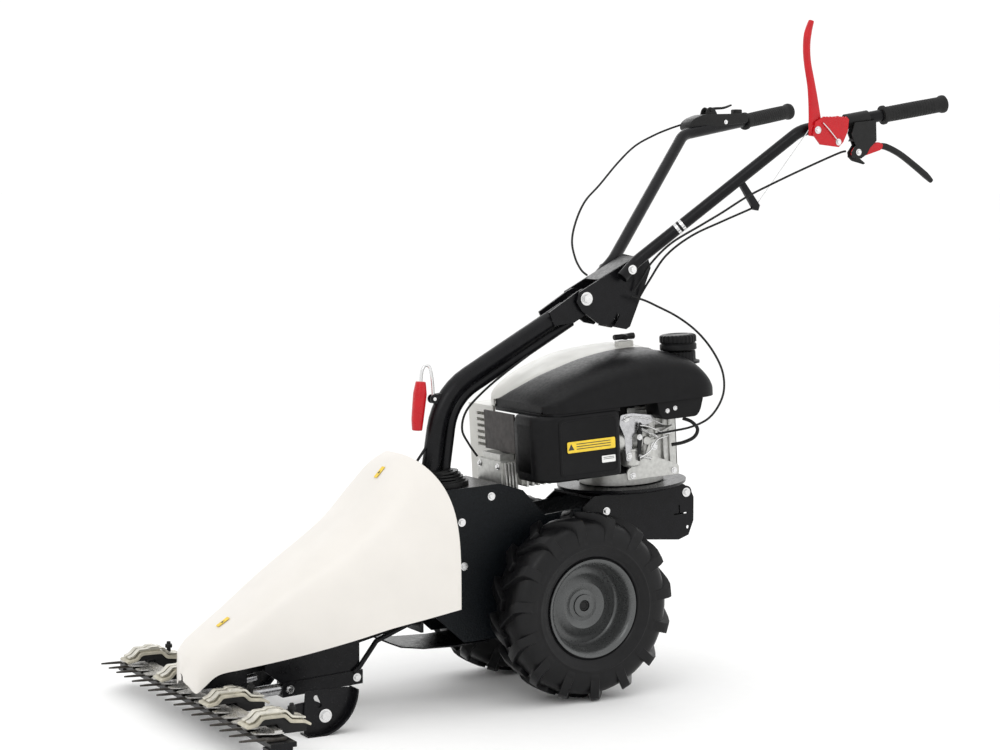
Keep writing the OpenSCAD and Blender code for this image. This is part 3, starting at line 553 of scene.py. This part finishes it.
# ---------------------------------------------------------------- hood
# Each station is (side y, top y, half width, bottom z, top z) in mm
HOOD = [(-858, -864, 34, 88, 146), (-852, -860, 56, 78, 158), (-838, -838, 66, 92, 180),
        (-810, -800, 76, 116, 204), (-760, -735, 90, 126, 246), (-700, -665, 103, 136, 298),
        (-640, -600, 115, 147, 344), (-580, -540, 127, 160, 384), (-520, -490, 138, 174, 424),
        (-450, -440, 150, 192, 482), (-380, -402, 161, 206, 524), (-300, -370, 170, 222, 543)]
HOOD_NOSE = [(-861.5, -865.5, 4, 96, 112), (-861, -865.6, 20, 92, 134)]
ARCH_POWER = 0.62
ARCH_SIDES = 56
HOOD_SKIN = 3.5


def hood_point(station, turn, inset=0.0):
    """A point on a station's arch, from turn 0 at the left to pi at the right, moved in by inset mm."""
    side_y, top_y, half, low_z, high_z = station
    c, s = math.cos(turn), max(0.0, math.sin(turn))
    return ground((half - inset) * math.copysign(abs(c) ** ARCH_POWER, c), side_y + (top_y - side_y) * s ** 3,
                  low_z + (high_z - inset - low_z) * s ** ARCH_POWER)


def make_hood():
    """The white hood, a skin that is open below and behind."""
    stations = [tuple(s) for s in spline_rows(HOOD, 5)]
    turns = [math.pi * k / ARCH_SIDES for k in range(ARCH_SIDES + 1)]
    outer = [[hood_point(s, turn) for turn in turns] for s in HOOD_NOSE + stations]
    inner = [[hood_point(s, turn, HOOD_SKIN) for turn in turns] for s in stations]
    edge = [[hood_point(HOOD[-1], turn, inset) + Vector((0, 0.0015, 0)) for turn in turns]
            for inset in (0.4, 3.1)]
    rows = outer + edge + list(reversed(inner))
    shape = grid(rows)
    count = len(turns)
    hems = []
    for j in range(len(stations) - 1):
        o, i = (len(HOOD_NOSE) + j) * count, (len(rows) - 1 - j) * count
        for k in (0, ARCH_SIDES):
            hems.append((o + k, o + count + k, i - count + k, i + k))
    piece("hood_shell", (shape[0], shape[1] + hems), "hood_white", "chassis", ("hood",))


def spline_rows(rows, steps):
    """A smooth run of stations through the given ones."""
    columns = list(zip(*rows))
    smooth = [spline([float(v) for v in column], steps) for column in columns]
    return list(zip(*smooth))


# ---------------------------------------------------------------- engine
SEAM_TOP = [(-72, 444), (-50, 464), (0, 491), (60, 511), (120, 525), (190, 534), (255, 534), (310, 521),
            (345, 490), (362, 454), (368, 428)]
RIDGE_TOP = [(-72, 445), (-50, 466), (0, 494), (60, 517), (120, 533), (190, 541), (255, 541), (310, 525),
             (345, 492), (362, 455), (368, 428)]
CAP_X, CAP_Y, CAP_SEAT = 80, 330, 498
CRANK_Y = 213
COVER_HALF, COVER_FLOOR = 190.0, 426


def drawn_in(past, run):
    """The share from 0 to 1 that a quarter ellipse of this run has turned in, past its start."""
    return 1 - math.sqrt(max(0.0, 1 - (past / run) ** 2))


def cowl_half(y):
    """Half width of the engine's cover at y, with rounded corners in plan."""
    if y < -30:
        return COVER_HALF - 42 * drawn_in(-30 - y, 43)
    if y > 316:
        return COVER_HALF - 52 * drawn_in(y - 316, 54)
    return COVER_HALF


def far_half(y):
    """Half width of the far, pale half, whose front is a long quarter ellipse in plan."""
    return 54 + 136 * (1 - drawn_in(170 - y, 242)) if y < 170 else cowl_half(y)


def make_cowl(name, side, finish, node):
    """One half of the engine's cover: the near black half is side 1, the far pale half is side -1."""
    curve = spline([Vector((y, z, ridge)) for (y, z), (_, ridge) in zip(SEAM_TOP, RIDGE_TOP)], 5)
    rows = [[chassis(*p) for p in cowl_row(SEAM_TOP[0][0], COVER_FLOOR, COVER_FLOOR, side)]]
    rows += [[chassis(*p) for p in cowl_row(c.x, c.y, c.z, side)] for c in curve]
    piece(name, grid(rows), finish, "chassis", (node,), skin_mm=4)


def cowl_row(y, top, ridge, side):
    """Points over the cover at one y, from the seam out to the side wall and down it.

    top is its height at the seam, and ridge the height that the far half swells to beside it."""
    seam_x = 20 + 0.3 * side - 74 * drawn_in(70 - min(y, 70), 142)
    wall = side * (cowl_half(y) if side > 0 else far_half(y))
    steps, power, groove, swell_run, well_r, well_wall = 32, 3.2, 1.6, 80, 66, 18
    out = []
    for k in range(steps + 1):
        share = math.sin(k / steps * math.pi / 2)
        x = seam_x + (wall - seam_x) * share
        drop = (top - 440) * (1 - (1 - share ** power) ** (1 / power)) if top > 440 else 0.0
        seam = groove * max(0.0, 1 - abs(x - seam_x) / 3) ** 2
        swell = min(1.0, abs(x - seam_x) / swell_run)
        swell = swell * swell * (3 - 2 * swell) * (ridge - top) if side < 0 else 0.0
        z = top + swell - drop - seam
        near = math.hypot(x - CAP_X, y - CAP_Y)
        if side > 0 and near < well_r:
            z = min(z, z + (CAP_SEAT - z) * min(1.0, (well_r - near) / well_wall))
        out.append((x, y, max(COVER_FLOOR + 0.5, z)))
    edge_z = out[-1][2]
    out += [(wall, y, max(COVER_FLOOR + 0.2, COVER_FLOOR + (edge_z - COVER_FLOOR) * f)) for f in (0.6, 0.25)]
    return out + [(wall, y, COVER_FLOOR)]


def make_cover_deck():
    """The plate that closes the far half of the cover from below."""
    deck = [(-58, -70), (-120, -40), (-152, 0), (-178, 60), (-188, 120), (-188, 300), (10, 300), (10, -70)]
    piece("cover_deck", upright(deck, COVER_FLOOR - 5, COVER_FLOOR), "shroud_grey", "chassis", edge_mm=1)


def make_fuel_cap():
    """The ribbed filler neck and its cap."""
    ribs = 26

    def grips(turn, r, t):
        return r - (1.5 * (0.5 + 0.5 * math.cos(turn * ribs)) if 23 < t < 40 and r > 36 else 0)

    def flutes(turn, r, t):
        return r - (0.8 * max(0, math.cos(turn * ribs)) if -16 < t < 3 else 0)

    place = chassis(CAP_X, CAP_Y, 518)
    neck = spun([(30, -24), (47, -24), (47, -19), (40, -17), (38.5, -15), (38.5, 2), (37, 3.6), (30, 3.6)],
                place,
                CHASSIS_UP, sides=208, ripple=flutes)
    piece("filler_neck", neck, "engine_black", "chassis")
    cap = spun([(0.1, 4.4), (30, 4.4), (30, 6), (40, 6.4), (41.5, 8), (41.5, 18), (40, 20.4), (38.5, 21.4),
                (38.5, 23),
                (41.6, 24.4), (41.8, 27), (41.8, 36), (40, 39.5), (35, 41.4), (24, 42), (22, 40.8), (0.1,
                                                                                                     40.8)],
               place, CHASSIS_UP, sides=208, ripple=grips)
    piece("fuel_cap_ribbed", cap, "engine_black", "fuel_cap", ("fuel_cap",))


def upright(outline, z0, z1):
    """A plan outline in (x, y) mm raised from z0 to z1 in the chassis frame."""
    return capped([[chassis(x, y, z) for x, y in outline] for z in (z0, z1)])


def make_air_box():
    """The black air box with its face and inlet, and the tray between it and the cover."""
    plan = rounded([(190, -64), (190, 98), (180, 106), (72, 106), (72, -98), (158, -98)], 16)
    piece("air_box_body", upright(plan, 278, 422), "engine_black", "chassis", ("air_box",), edge_mm=9)
    tray = rounded([(-64, -71), (150, -71), (186, -56), (186, 110), (24, 110), (-20, -20)], 10)
    piece("cover_tray", upright(tray, COVER_FLOOR - 9, COVER_FLOOR), "engine_black", "chassis", edge_mm=1)
    face = rounded([(-52, 288), (94, 288), (94, 412), (-52, 412)], 12)
    rim = [(21 + (y - 21) * 0.93, 350 + (z - 350) * 0.93) for y, z in face]
    rings = [[chassis(x, y, z) for y, z in outline] for x, outline in ((188, face), (191.4, face), (192.2,
                                                                                                    rim),
                                                                       (190.9, rim))]
    piece("air_box_face", capped(rings), "engine_black", "chassis", edge_mm=1.2)
    foot = rounded([(-98, 290), (-62, 290), (-62, 410), (-98, 410)], 8)
    piece("air_box_inlet", side_plate(foot, 74, 150, chassis), "engine_black", "chassis", edge_mm=3)


def coil(a, b, r_mm, turns, wire_mm):
    """A spring between two points."""
    axis = (b - a).normalized()
    side = axis.orthogonal().normalized()
    deep = axis.cross(side)
    steps = turns * 14
    path = [a + (b - a) * (k / steps) + (side * math.cos(k / 14 * 2 * math.pi)
                                         + deep * math.sin(k / 14 * 2 * math.pi)) * (r_mm * MM)
            for k in range(steps + 1)]
    return sweep(path, [wire_mm, wire_mm], sides=8)


def make_controls():
    """The carburettor with its levers and springs, the panels round it, and a black sheet behind them that is
    painted shade.
    """
    def rod(points, r_mm):
        return sweep(spline([chassis(*p) for p in points], 5), [r_mm, r_mm], sides=14)

    panel = rounded([(206, 428), (214, 392), (226, 384), (310, 384), (320, 396), (330, 428)], 8)
    piece("rear_panel", side_plate(panel, 120, 178, chassis), "engine_black", "chassis", edge_mm=3)
    # A black sheet behind the controls: painted shade that darkens the gaps and hides the plain block behind them.
    shade_backing = rounded([(108, 262), (108, 424), (306, 424), (306, 262)], 8)
    piece("painted_shade_backing", side_plate(shade_backing, 86, 95, chassis), "engine_black", "chassis", edge_mm=2)
    plate = rounded([(118, 384), (122, 404), (150, 406), (204, 396), (204, 380), (168, 372), (150, 352),
                     (146, 300),
                     (132, 300), (130, 356)], 5)
    piece("throttle_plate", side_plate(plate, 158, 160.5, chassis), "shaft_steel", "chassis", edge_mm=0.8)
    arm = rounded([(156, 300), (162, 298), (170, 344), (172, 380), (165, 386), (158, 346)], 4)
    piece("governor_arm", side_plate(arm, 166, 169, chassis), "lever_black", "chassis", edge_mm=1)
    link = together(rod([(170, 165, 378), (168, 190, 372), (162, 236, 352), (160, 262, 356)], 1.4),
                    rod([(170, 160, 306), (166, 190, 318), (160, 214, 340), (150, 248, 344)], 1.6),
                    rod([(164, 126, 392), (166, 150, 398), (164, 196, 388), (156, 232, 372)], 1.2))
    piece("throttle_links", link, "bolt_chrome", "chassis")
    springs = together(coil(chassis(172, 166, 370), chassis(164, 214, 346), 3.4, 12, 0.7),
                       coil(chassis(168, 158, 312), chassis(162, 196, 300), 3.0, 10, 0.7))
    piece("governor_springs", springs, "bolt_chrome", "chassis")
    bowl = spun([(0.1, 0), (17, 0), (21, 3), (22.5, 8), (22.5, 34), (24.5, 35), (24.5, 40), (0.1, 40)],
                chassis(140, 156, 286), CHASSIS_UP, sides=48)
    throat = spun([(12, 0), (20, 0), (24, 3), (24, 30), (20, 33), (20, 62), (26, 64), (26, 70), (12, 70)],
                  chassis(136, 106, 344), CHASSIS_BACK, sides=48)
    piece("carburettor_body", together(bowl, throat), "engine_alu", "chassis", edge_mm=0.8)


def make_castings():
    """Ribs and bands on the engine's castings, the governor's bracket, and the bolts."""
    def around(turn):
        """Chassis places turned about the crankshaft."""
        return lambda x, y, z: chassis(x * math.cos(turn) - y * math.sin(turn),
                                       CRANK_Y + x * math.sin(turn) + y * math.cos(turn), z)

    spokes = [box((94, -2.5, 262), (101, 2.5, 404), around(math.radians(60 + 15 * k))) for k in range(13)]
    bands = [sweep([around(math.radians(7.5 * k))(98, 0, z) for k in range(49)], [4.2, 4.2], sides=12)
             for z in (266, 400)]
    piece("crankcase_ribs", together(*spokes, *bands), "engine_alu", "chassis", edge_mm=1)
    fins = [box((96, 172 + 18 * k, 254), (104 + 3 * (k % 2), 180 + 18 * k, 384), chassis) for k in range(7)]
    piece("block_ribs", together(*fins), "engine_alu", "chassis", edge_mm=1.5)
    bracket = rounded([(150, 252), (150, 276), (196, 300), (214, 340), (232, 336), (230, 296), (286, 274),
                       (286, 252)], 7)
    piece("governor_bracket", side_plate(bracket, 128, 132, chassis), "engine_alu", "chassis", edge_mm=1)
    # Each bolt is its place and its head's radius
    spots = ((160.6, 136, 394, 5), (160.6, 140, 312, 5), (169.2, 163, 352, 4.4), (132.2, 164, 262, 5),
             (132.2, 222, 322, 6), (132.2, 272, 262, 5), (178.2, 232, 404, 3.6), (178.2, 252, 408, 3.6),
             (107.2, 196, 276, 5.5), (107.2, 232, 366, 5.5))
    piece("control_bolts", together(*[bolt(chassis(x, y, z), LEFT, r, r * 0.9) for x, y, z, r in spots]),
          "bolt_chrome", "chassis")
    front = (0, -1, 0)
    heads = [bolt(chassis(x, -118.2, z), front, 5, 4.5) for x in (-54, 30) for z in (254, 304)]
    piece("head_bolts", together(*heads), "bolt_chrome", "chassis")
    ribs = [box((42, -112 + 8 * k, 246), (52, -108 + 8 * k, 312), chassis) for k in range(4)]
    piece("head_ribs", together(*ribs), "engine_alu", "chassis", edge_mm=0.8)


def label(name, center, right, up, width, height, body, ink="label_ink", base="label_yellow", marks="sign"):
    """A printed label: a thin plate with plain marks and no words.

    marks is "sign" for a triangle with lines beside it where there is room, or "lines" for two lines."""
    right, up = Vector(right).normalized(), Vector(up).normalized()
    out = right.cross(up).normalized()

    def at(x, y, lift):
        return center + right * (x * MM) + up * (y * MM) + out * (lift * MM)

    def plate(outline, low_lift, high_lift):
        return capped([[at(x, y, lift) for x, y in outline] for lift in (low_lift, high_lift)])

    w, h = width / 2, height / 2
    piece(name, plate(rounded([(-w, -h), (w, -h), (w, h), (-w, h)], min(w, h) * 0.3, 4), 0, 0.7), base, body)
    shapes = []
    line_count, line_start = 2, -w * 0.8
    if marks == "sign":
        t = min(w, h) * 0.62
        cx = -w + t * 1.3 if w > h else 0
        shapes.append(plate([(cx - t, -t * 0.8), (cx + t, -t * 0.8), (cx, t)], 0.7, 0.95))
        line_count, line_start = (3 if w > h * 1.6 else 0), -w + min(w, h) * 1.9
    for k in range(line_count):
        y = h * (0.5 - k * 0.45)
        shapes.append(plate([(line_start, y - h * 0.07), (w * 0.8, y - h * 0.07), (w * 0.8, y + h * 0.07),
                             (line_start, y + h * 0.07)], 0.7, 0.95))
    piece(name + "_marks", together(*shapes), ink, body)


def make_labels():
    """The four generic labels."""
    # Each hood label lies on the hood's surface: its middle and its two directions along it
    label("nose_label", ground(30, -782, 216.4), LEFT, (0.03, 0.837, 0.547), 14, 30, "chassis")
    label("top_label", ground(25, -420.4, 506.2), LEFT, (0.02, 0.672, 0.74), 14, 30, "chassis")
    label("air_box_label", chassis(192.3, 26, 352), CHASSIS_BACK, CHASSIS_UP, 120, 24, "chassis")
    label("air_box_tag", chassis(192.3, 68, 318), CHASSIS_BACK, CHASSIS_UP, 34, 15, "chassis",
          base="label_white", marks="lines")
    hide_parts("warning_labels")


# ---------------------------------------------------------------- handlebar
BAR_BEND, GRIP_OUT = Vector((238, 515, 1238)), Vector((299, 869, 1301))
GRIP_IN = BAR_BEND + (GRIP_OUT - BAR_BEND) * 0.56


def make_starter_grip():
    """A slim pull handle on its cord boss."""
    stem = spun([(0.1, 0), (5.6, 0), (6.4, 2), (6.4, 34), (7.6, 46), (7.2, 52), (0.1, 53)],
                chassis(-9, 216, 556.5), CHASSIS_BACK, sides=40)
    boss = upright(rounded([(-22, 222), (4, 222), (4, 262), (-22, 262)], 8), 530, 547.6)
    piece("handle_boss", boss, "shroud_grey", "chassis", edge_mm=3)
    bar = sweep([chassis(x, 242, 556) for x in (-26, -20, -9, 2, 8)], [4.2, 6.2, 6.8, 6.2, 4.2], sides=24)
    piece("starter_handle", together(stem, bar), "lever_black", "starter_grip", ("starter_grip",))


def make_grips():
    """The two rubber grips, ringed with ridges."""
    ring, depth, first, last = 7.0, 0.9, 16, 132

    def ridges(turn, r, t):
        return r - (depth * max(0.0, math.cos(2 * math.pi * t / ring)) if first < t < last else 0)

    reach = (GRIP_OUT - GRIP_IN).length
    stations = [(14, 0), (21, 0), (21.6, 2), (21.4, 7), (18.2, 9)]
    stations += [(17.4 + 0.6 * math.sin(t / reach * math.pi), t) for t in range(11, int(reach) - 14)]
    stations += [(18.6, reach - 12), (20, reach - 9), (20.4, reach - 4), (19.4, reach), (16, reach + 2.8),
                 (0.1, reach + 3)]
    for side, name in ((1, "left"), (-1, "right")):
        a, b = ground(side * GRIP_IN.x, GRIP_IN.y, GRIP_IN.z), ground(side * GRIP_OUT.x, GRIP_OUT.y,
                                                                      GRIP_OUT.z)
        piece(name + "_grip", spun(stations, a, b - a, sides=48, ripple=ridges), "grip_rubber", "handlebar",
              ("grips",))


def make_drive_lever():
    """The tall red lever, its bolt, and the wire of its pawl."""
    path = spline([ground(273.5, y, z) for y, z in ((527, 1224), (529, 1250), (525, 1290), (518, 1335),
                                                    (507, 1385),
                                                     (504, 1420), (507, 1450), (516, 1477))], 8)
    arm = sweep(path, [3.2, 3.4, 4.2, 5.6, 7.2, 8, 8, 6.4], [15, 18, 14, 10, 7.8, 7.6, 8, 5.4], 28,
                square=0.8)
    boss = spun([(0.1, 0), (13, 0), (13.6, 1), (13.6, 6.5), (12.6, 8), (0.1, 8)],
                ground(269.6, 530, 1238), LEFT)
    piece("drive_lever_arm", together(arm, boss), "lever_red", "drive_lever", ("drive_lever",))
    piece("drive_lever_bolt", bolt(ground(283.1, 530, 1238), LEFT, 5.6, 3.4), "bolt_chrome", "handlebar")
    piece("pawl_wire",
          sweep(spline([ground(286, 542, 1254), ground(286.4, 562, 1236), ground(286, 586, 1212)], 6),
                             [1.3, 1.3], sides=10), "bolt_chrome", "handlebar")


def make_clutch_lever():
    """The clutch lever with its red root, its bolt and the catch under it."""
    outline = rounded([(626, 1184), (632, 1200), (652, 1204), (700, 1214), (714, 1208), (708, 1196), (668,
                                                                                                      1184),
                       (640, 1177)], 9)
    piece("clutch_arm", side_plate(outline, 271.5, 282.5), "lever_red", "clutch_lever", ("clutch_lever",),
          edge_mm=2.4)
    blade = spline([ground(277, y, z) for y, z in ((698, 1204), (722, 1203), (760, 1188), (800, 1164), (836,
                                                                                                        1140),
                                                     (854, 1126))], 6)
    piece("clutch_blade", sweep(blade, [4.6, 5.6, 6.4, 6.8, 7, 5], [7, 7.4, 7.2, 7.2, 7.4, 5], 24,
                                square=0.75),
          "lever_black", "clutch_lever")
    piece("clutch_bolt", bolt(ground(286.2, 640, 1190), LEFT, 5, 5), "bolt_chrome", "clutch_lever")
    hook = rounded([(622, 1182), (634, 1171), (668, 1163), (672, 1166), (650, 1181), (640, 1186)], 4)
    piece("clutch_catch", side_plate(hook, 266.5, 269.6), "lever_black", "handlebar", edge_mm=0.8)


def make_lock_lever():
    """The red handle on the column, hanging from its bail."""
    lock = spline([ground(0, y, z) for y, z in ((-318, 588), (-317, 612), (-314, 640), (-311, 668), (-309,
                                                                                                     694))],
                  8)
    piece("lock_handle", sweep(lock, [11, 13.4, 14.4, 15, 10.6], [10.4, 12.8, 13.6, 14.2, 10], 32,
                               square=0.86),
          "lever_red", "lock_lever", ("lock_lever",), edge_mm=1.5)
    bail = spline([ground(0, y, z) for y, z in ((-309, 692), (-306, 716), (-298, 728), (-287, 722), (-281,
                                                                                                     690),
                                                  (-279, 655))], 8)
    pin = sweep([ground(x, -279, 655) for x in (-9, 0, 9)], [4, 4], sides=20)
    piece("lock_bail", together(sweep(bail, [3.5, 3.5], sides=16), pin), "bolt_chrome", "lock_lever")


def make_throttle():
    """The throttle's housing on the right bar, and its lever."""
    outline = rounded([(537, 1249), (537, 1266), (552, 1278), (580, 1288), (700, 1292), (708, 1286), (706,
                                                                                                      1270),
                       (600, 1256)], 8)
    upper = side_plate(outline, -288, -242)
    ears = [side_plate(rounded([(588, 1284), (592, 1300), (600, 1307), (614, 1303), (624, 1288)], 6), x,
                       x + 4)
            for x in (-279, -255)]
    piece("throttle_housing", together(upper, *ears), "lever_black", "handlebar", ("throttle_case",),
          edge_mm=5)
    piece("throttle_switch", box((-275, 676, 1288), (-255, 698, 1302)), "lever_black", "handlebar", edge_mm=3)
    piece("throttle_screw", bolt(ground(-241.8, 640, 1270), LEFT, 3.6, 3.4), "bolt_chrome", "handlebar")
    tab = spline([ground(-265, y, z) for y, z in ((600, 1299), (622, 1303), (648, 1305), (670, 1312))], 6)
    pin = sweep([ground(x, 604, 1299) for x in (-281, -265, -249)], [4, 4], sides=20)
    piece("throttle_tab", together(sweep(tab, [6, 7, 7, 5], [4, 3.4, 3, 2.2], 20, square=0.7), pin),
          "lever_black",
          "throttle_lever", ("throttle_lever",))


# ---------------------------------------------------------------- cutter bar
FINGERS, FINGER_PITCH = 17, 50.8
HOLDER_PLACES = (-345, -135, 135, 345)


def make_holders():
    """The four holders over the knife, each a core, a cast arm, a plated strap and a stud with its nut."""
    core = [(-742, 54), (-742, 70), (-776, 74), (-788, 87), (-832, 87), (-843, 75), (-850, 73.6), (-804,
                                                                                                   73.6),
            (-798, 60), (-796, 54)]
    lower = [(-868, 71), (-868, 77), (-848, 80.6), (-837, 93), (-786, 93), (-773, 80.6), (-744, 77), (-732,
                                                                                                      69),
             (-734, 64.6), (-746, 71), (-777, 74.4), (-789, 86.6), (-833, 86.6), (-845, 74)]
    upper = [(-742, 79), (-772, 83), (-784, 95.6), (-838, 95.6), (-851, 83), (-862, 80.4), (-862, 84),
             (-852, 87),
             (-839, 99.6), (-818, 99.6), (-814, 103), (-796, 103), (-792, 99.6), (-782, 99.6), (-769, 87),
             (-742, 83)]
    for n, x in enumerate(HOLDER_PLACES):
        name = "holder_%d" % n
        piece(name + "_core", side_plate(core, x - 21, x + 21), "lever_black", "chassis", ("knife_holders",
                                                                                           ), edge_mm=1)
        piece(name + "_arm", side_plate(rounded(lower, 4, 3), x - 25, x + 25), "holder_cast", "chassis",
              edge_mm=1.5)
        piece(name + "_plate", together(side_plate(rounded(upper, 3, 3), x - 19, x - 3),
                                        side_plate(rounded(upper, 3, 3), x + 3, x + 19),
                                        box((x - 17, -836, 93), (x + 17, -790, 97))),
              "holder_plated", "chassis", edge_mm=1.4)
        foot = ground(x, -764, 60)
        stud = spun([(0.1, 0), (4.6, 0), (4.6, 46), (3.8, 48), (0.1, 48)], foot, UP, sides=32)
        nut = spun([(0.1, 34), (8.4, 34), (8.8, 35), (8.8, 41), (8.2, 42), (0.1, 42)], foot, UP, sides=6)
        piece(name + "_stud", together(stud, nut), "lever_black", "chassis", edge_mm=0.6)


def make_fingers():
    """The row of guard fingers along the bar."""
    shapes = []
    for i in range(FINGERS):
        x = (i - (FINGERS - 1) // 2) * FINGER_PITCH
        prong = spline([ground(x, y, z) for y, z in ((-838, 57.6), (-858, 58.2), (-878, 58.8), (-888, 59),
                                                       (-899.5, 59.2))], 3)
        shapes.append(sweep(prong, [6.5, 3.4, 2.7, 2.5, 1.8], [3.2, 3, 2.7, 2.4, 1.7], 16, square=0.8))
        shapes.append(box((x - 11, -848, 53.6), (x + 11, -805, 60)))
    piece("finger_row", together(*shapes), "finger_steel", "chassis", ("guard_fingers",), edge_mm=0.7)


make_camera()
FINISH = make_finishes()
# Finishes that replace a node's own slot. bar_beam's black is painted shade: it stands for the shadow the beam
# lies in under the knife and the fingers.
LOOKS = {"side_plates": "gear_iron", "bar_beam": "frame_black"}
SOFTENER = make_softener()
make_studio()
for node_name in frame["nodes"]:
    finish_node(node_name, FINISH[LOOKS.get(node_name, SLOT_OF[node_name])])
make_cables()
make_wheel("left", 1)
make_wheel("right", -1)
make_hood()
make_cowl("tank_cover", 1, "engine_black", "fuel_tank")
make_cowl("fan_cover", -1, "shroud_grey", "fan_shroud")
make_cover_deck()
make_fuel_cap()
make_air_box()
make_controls()
make_castings()
make_labels()
make_starter_grip()
make_grips()
make_drive_lever()
make_clutch_lever()
make_lock_lever()
make_throttle()
make_holders()
make_fingers()
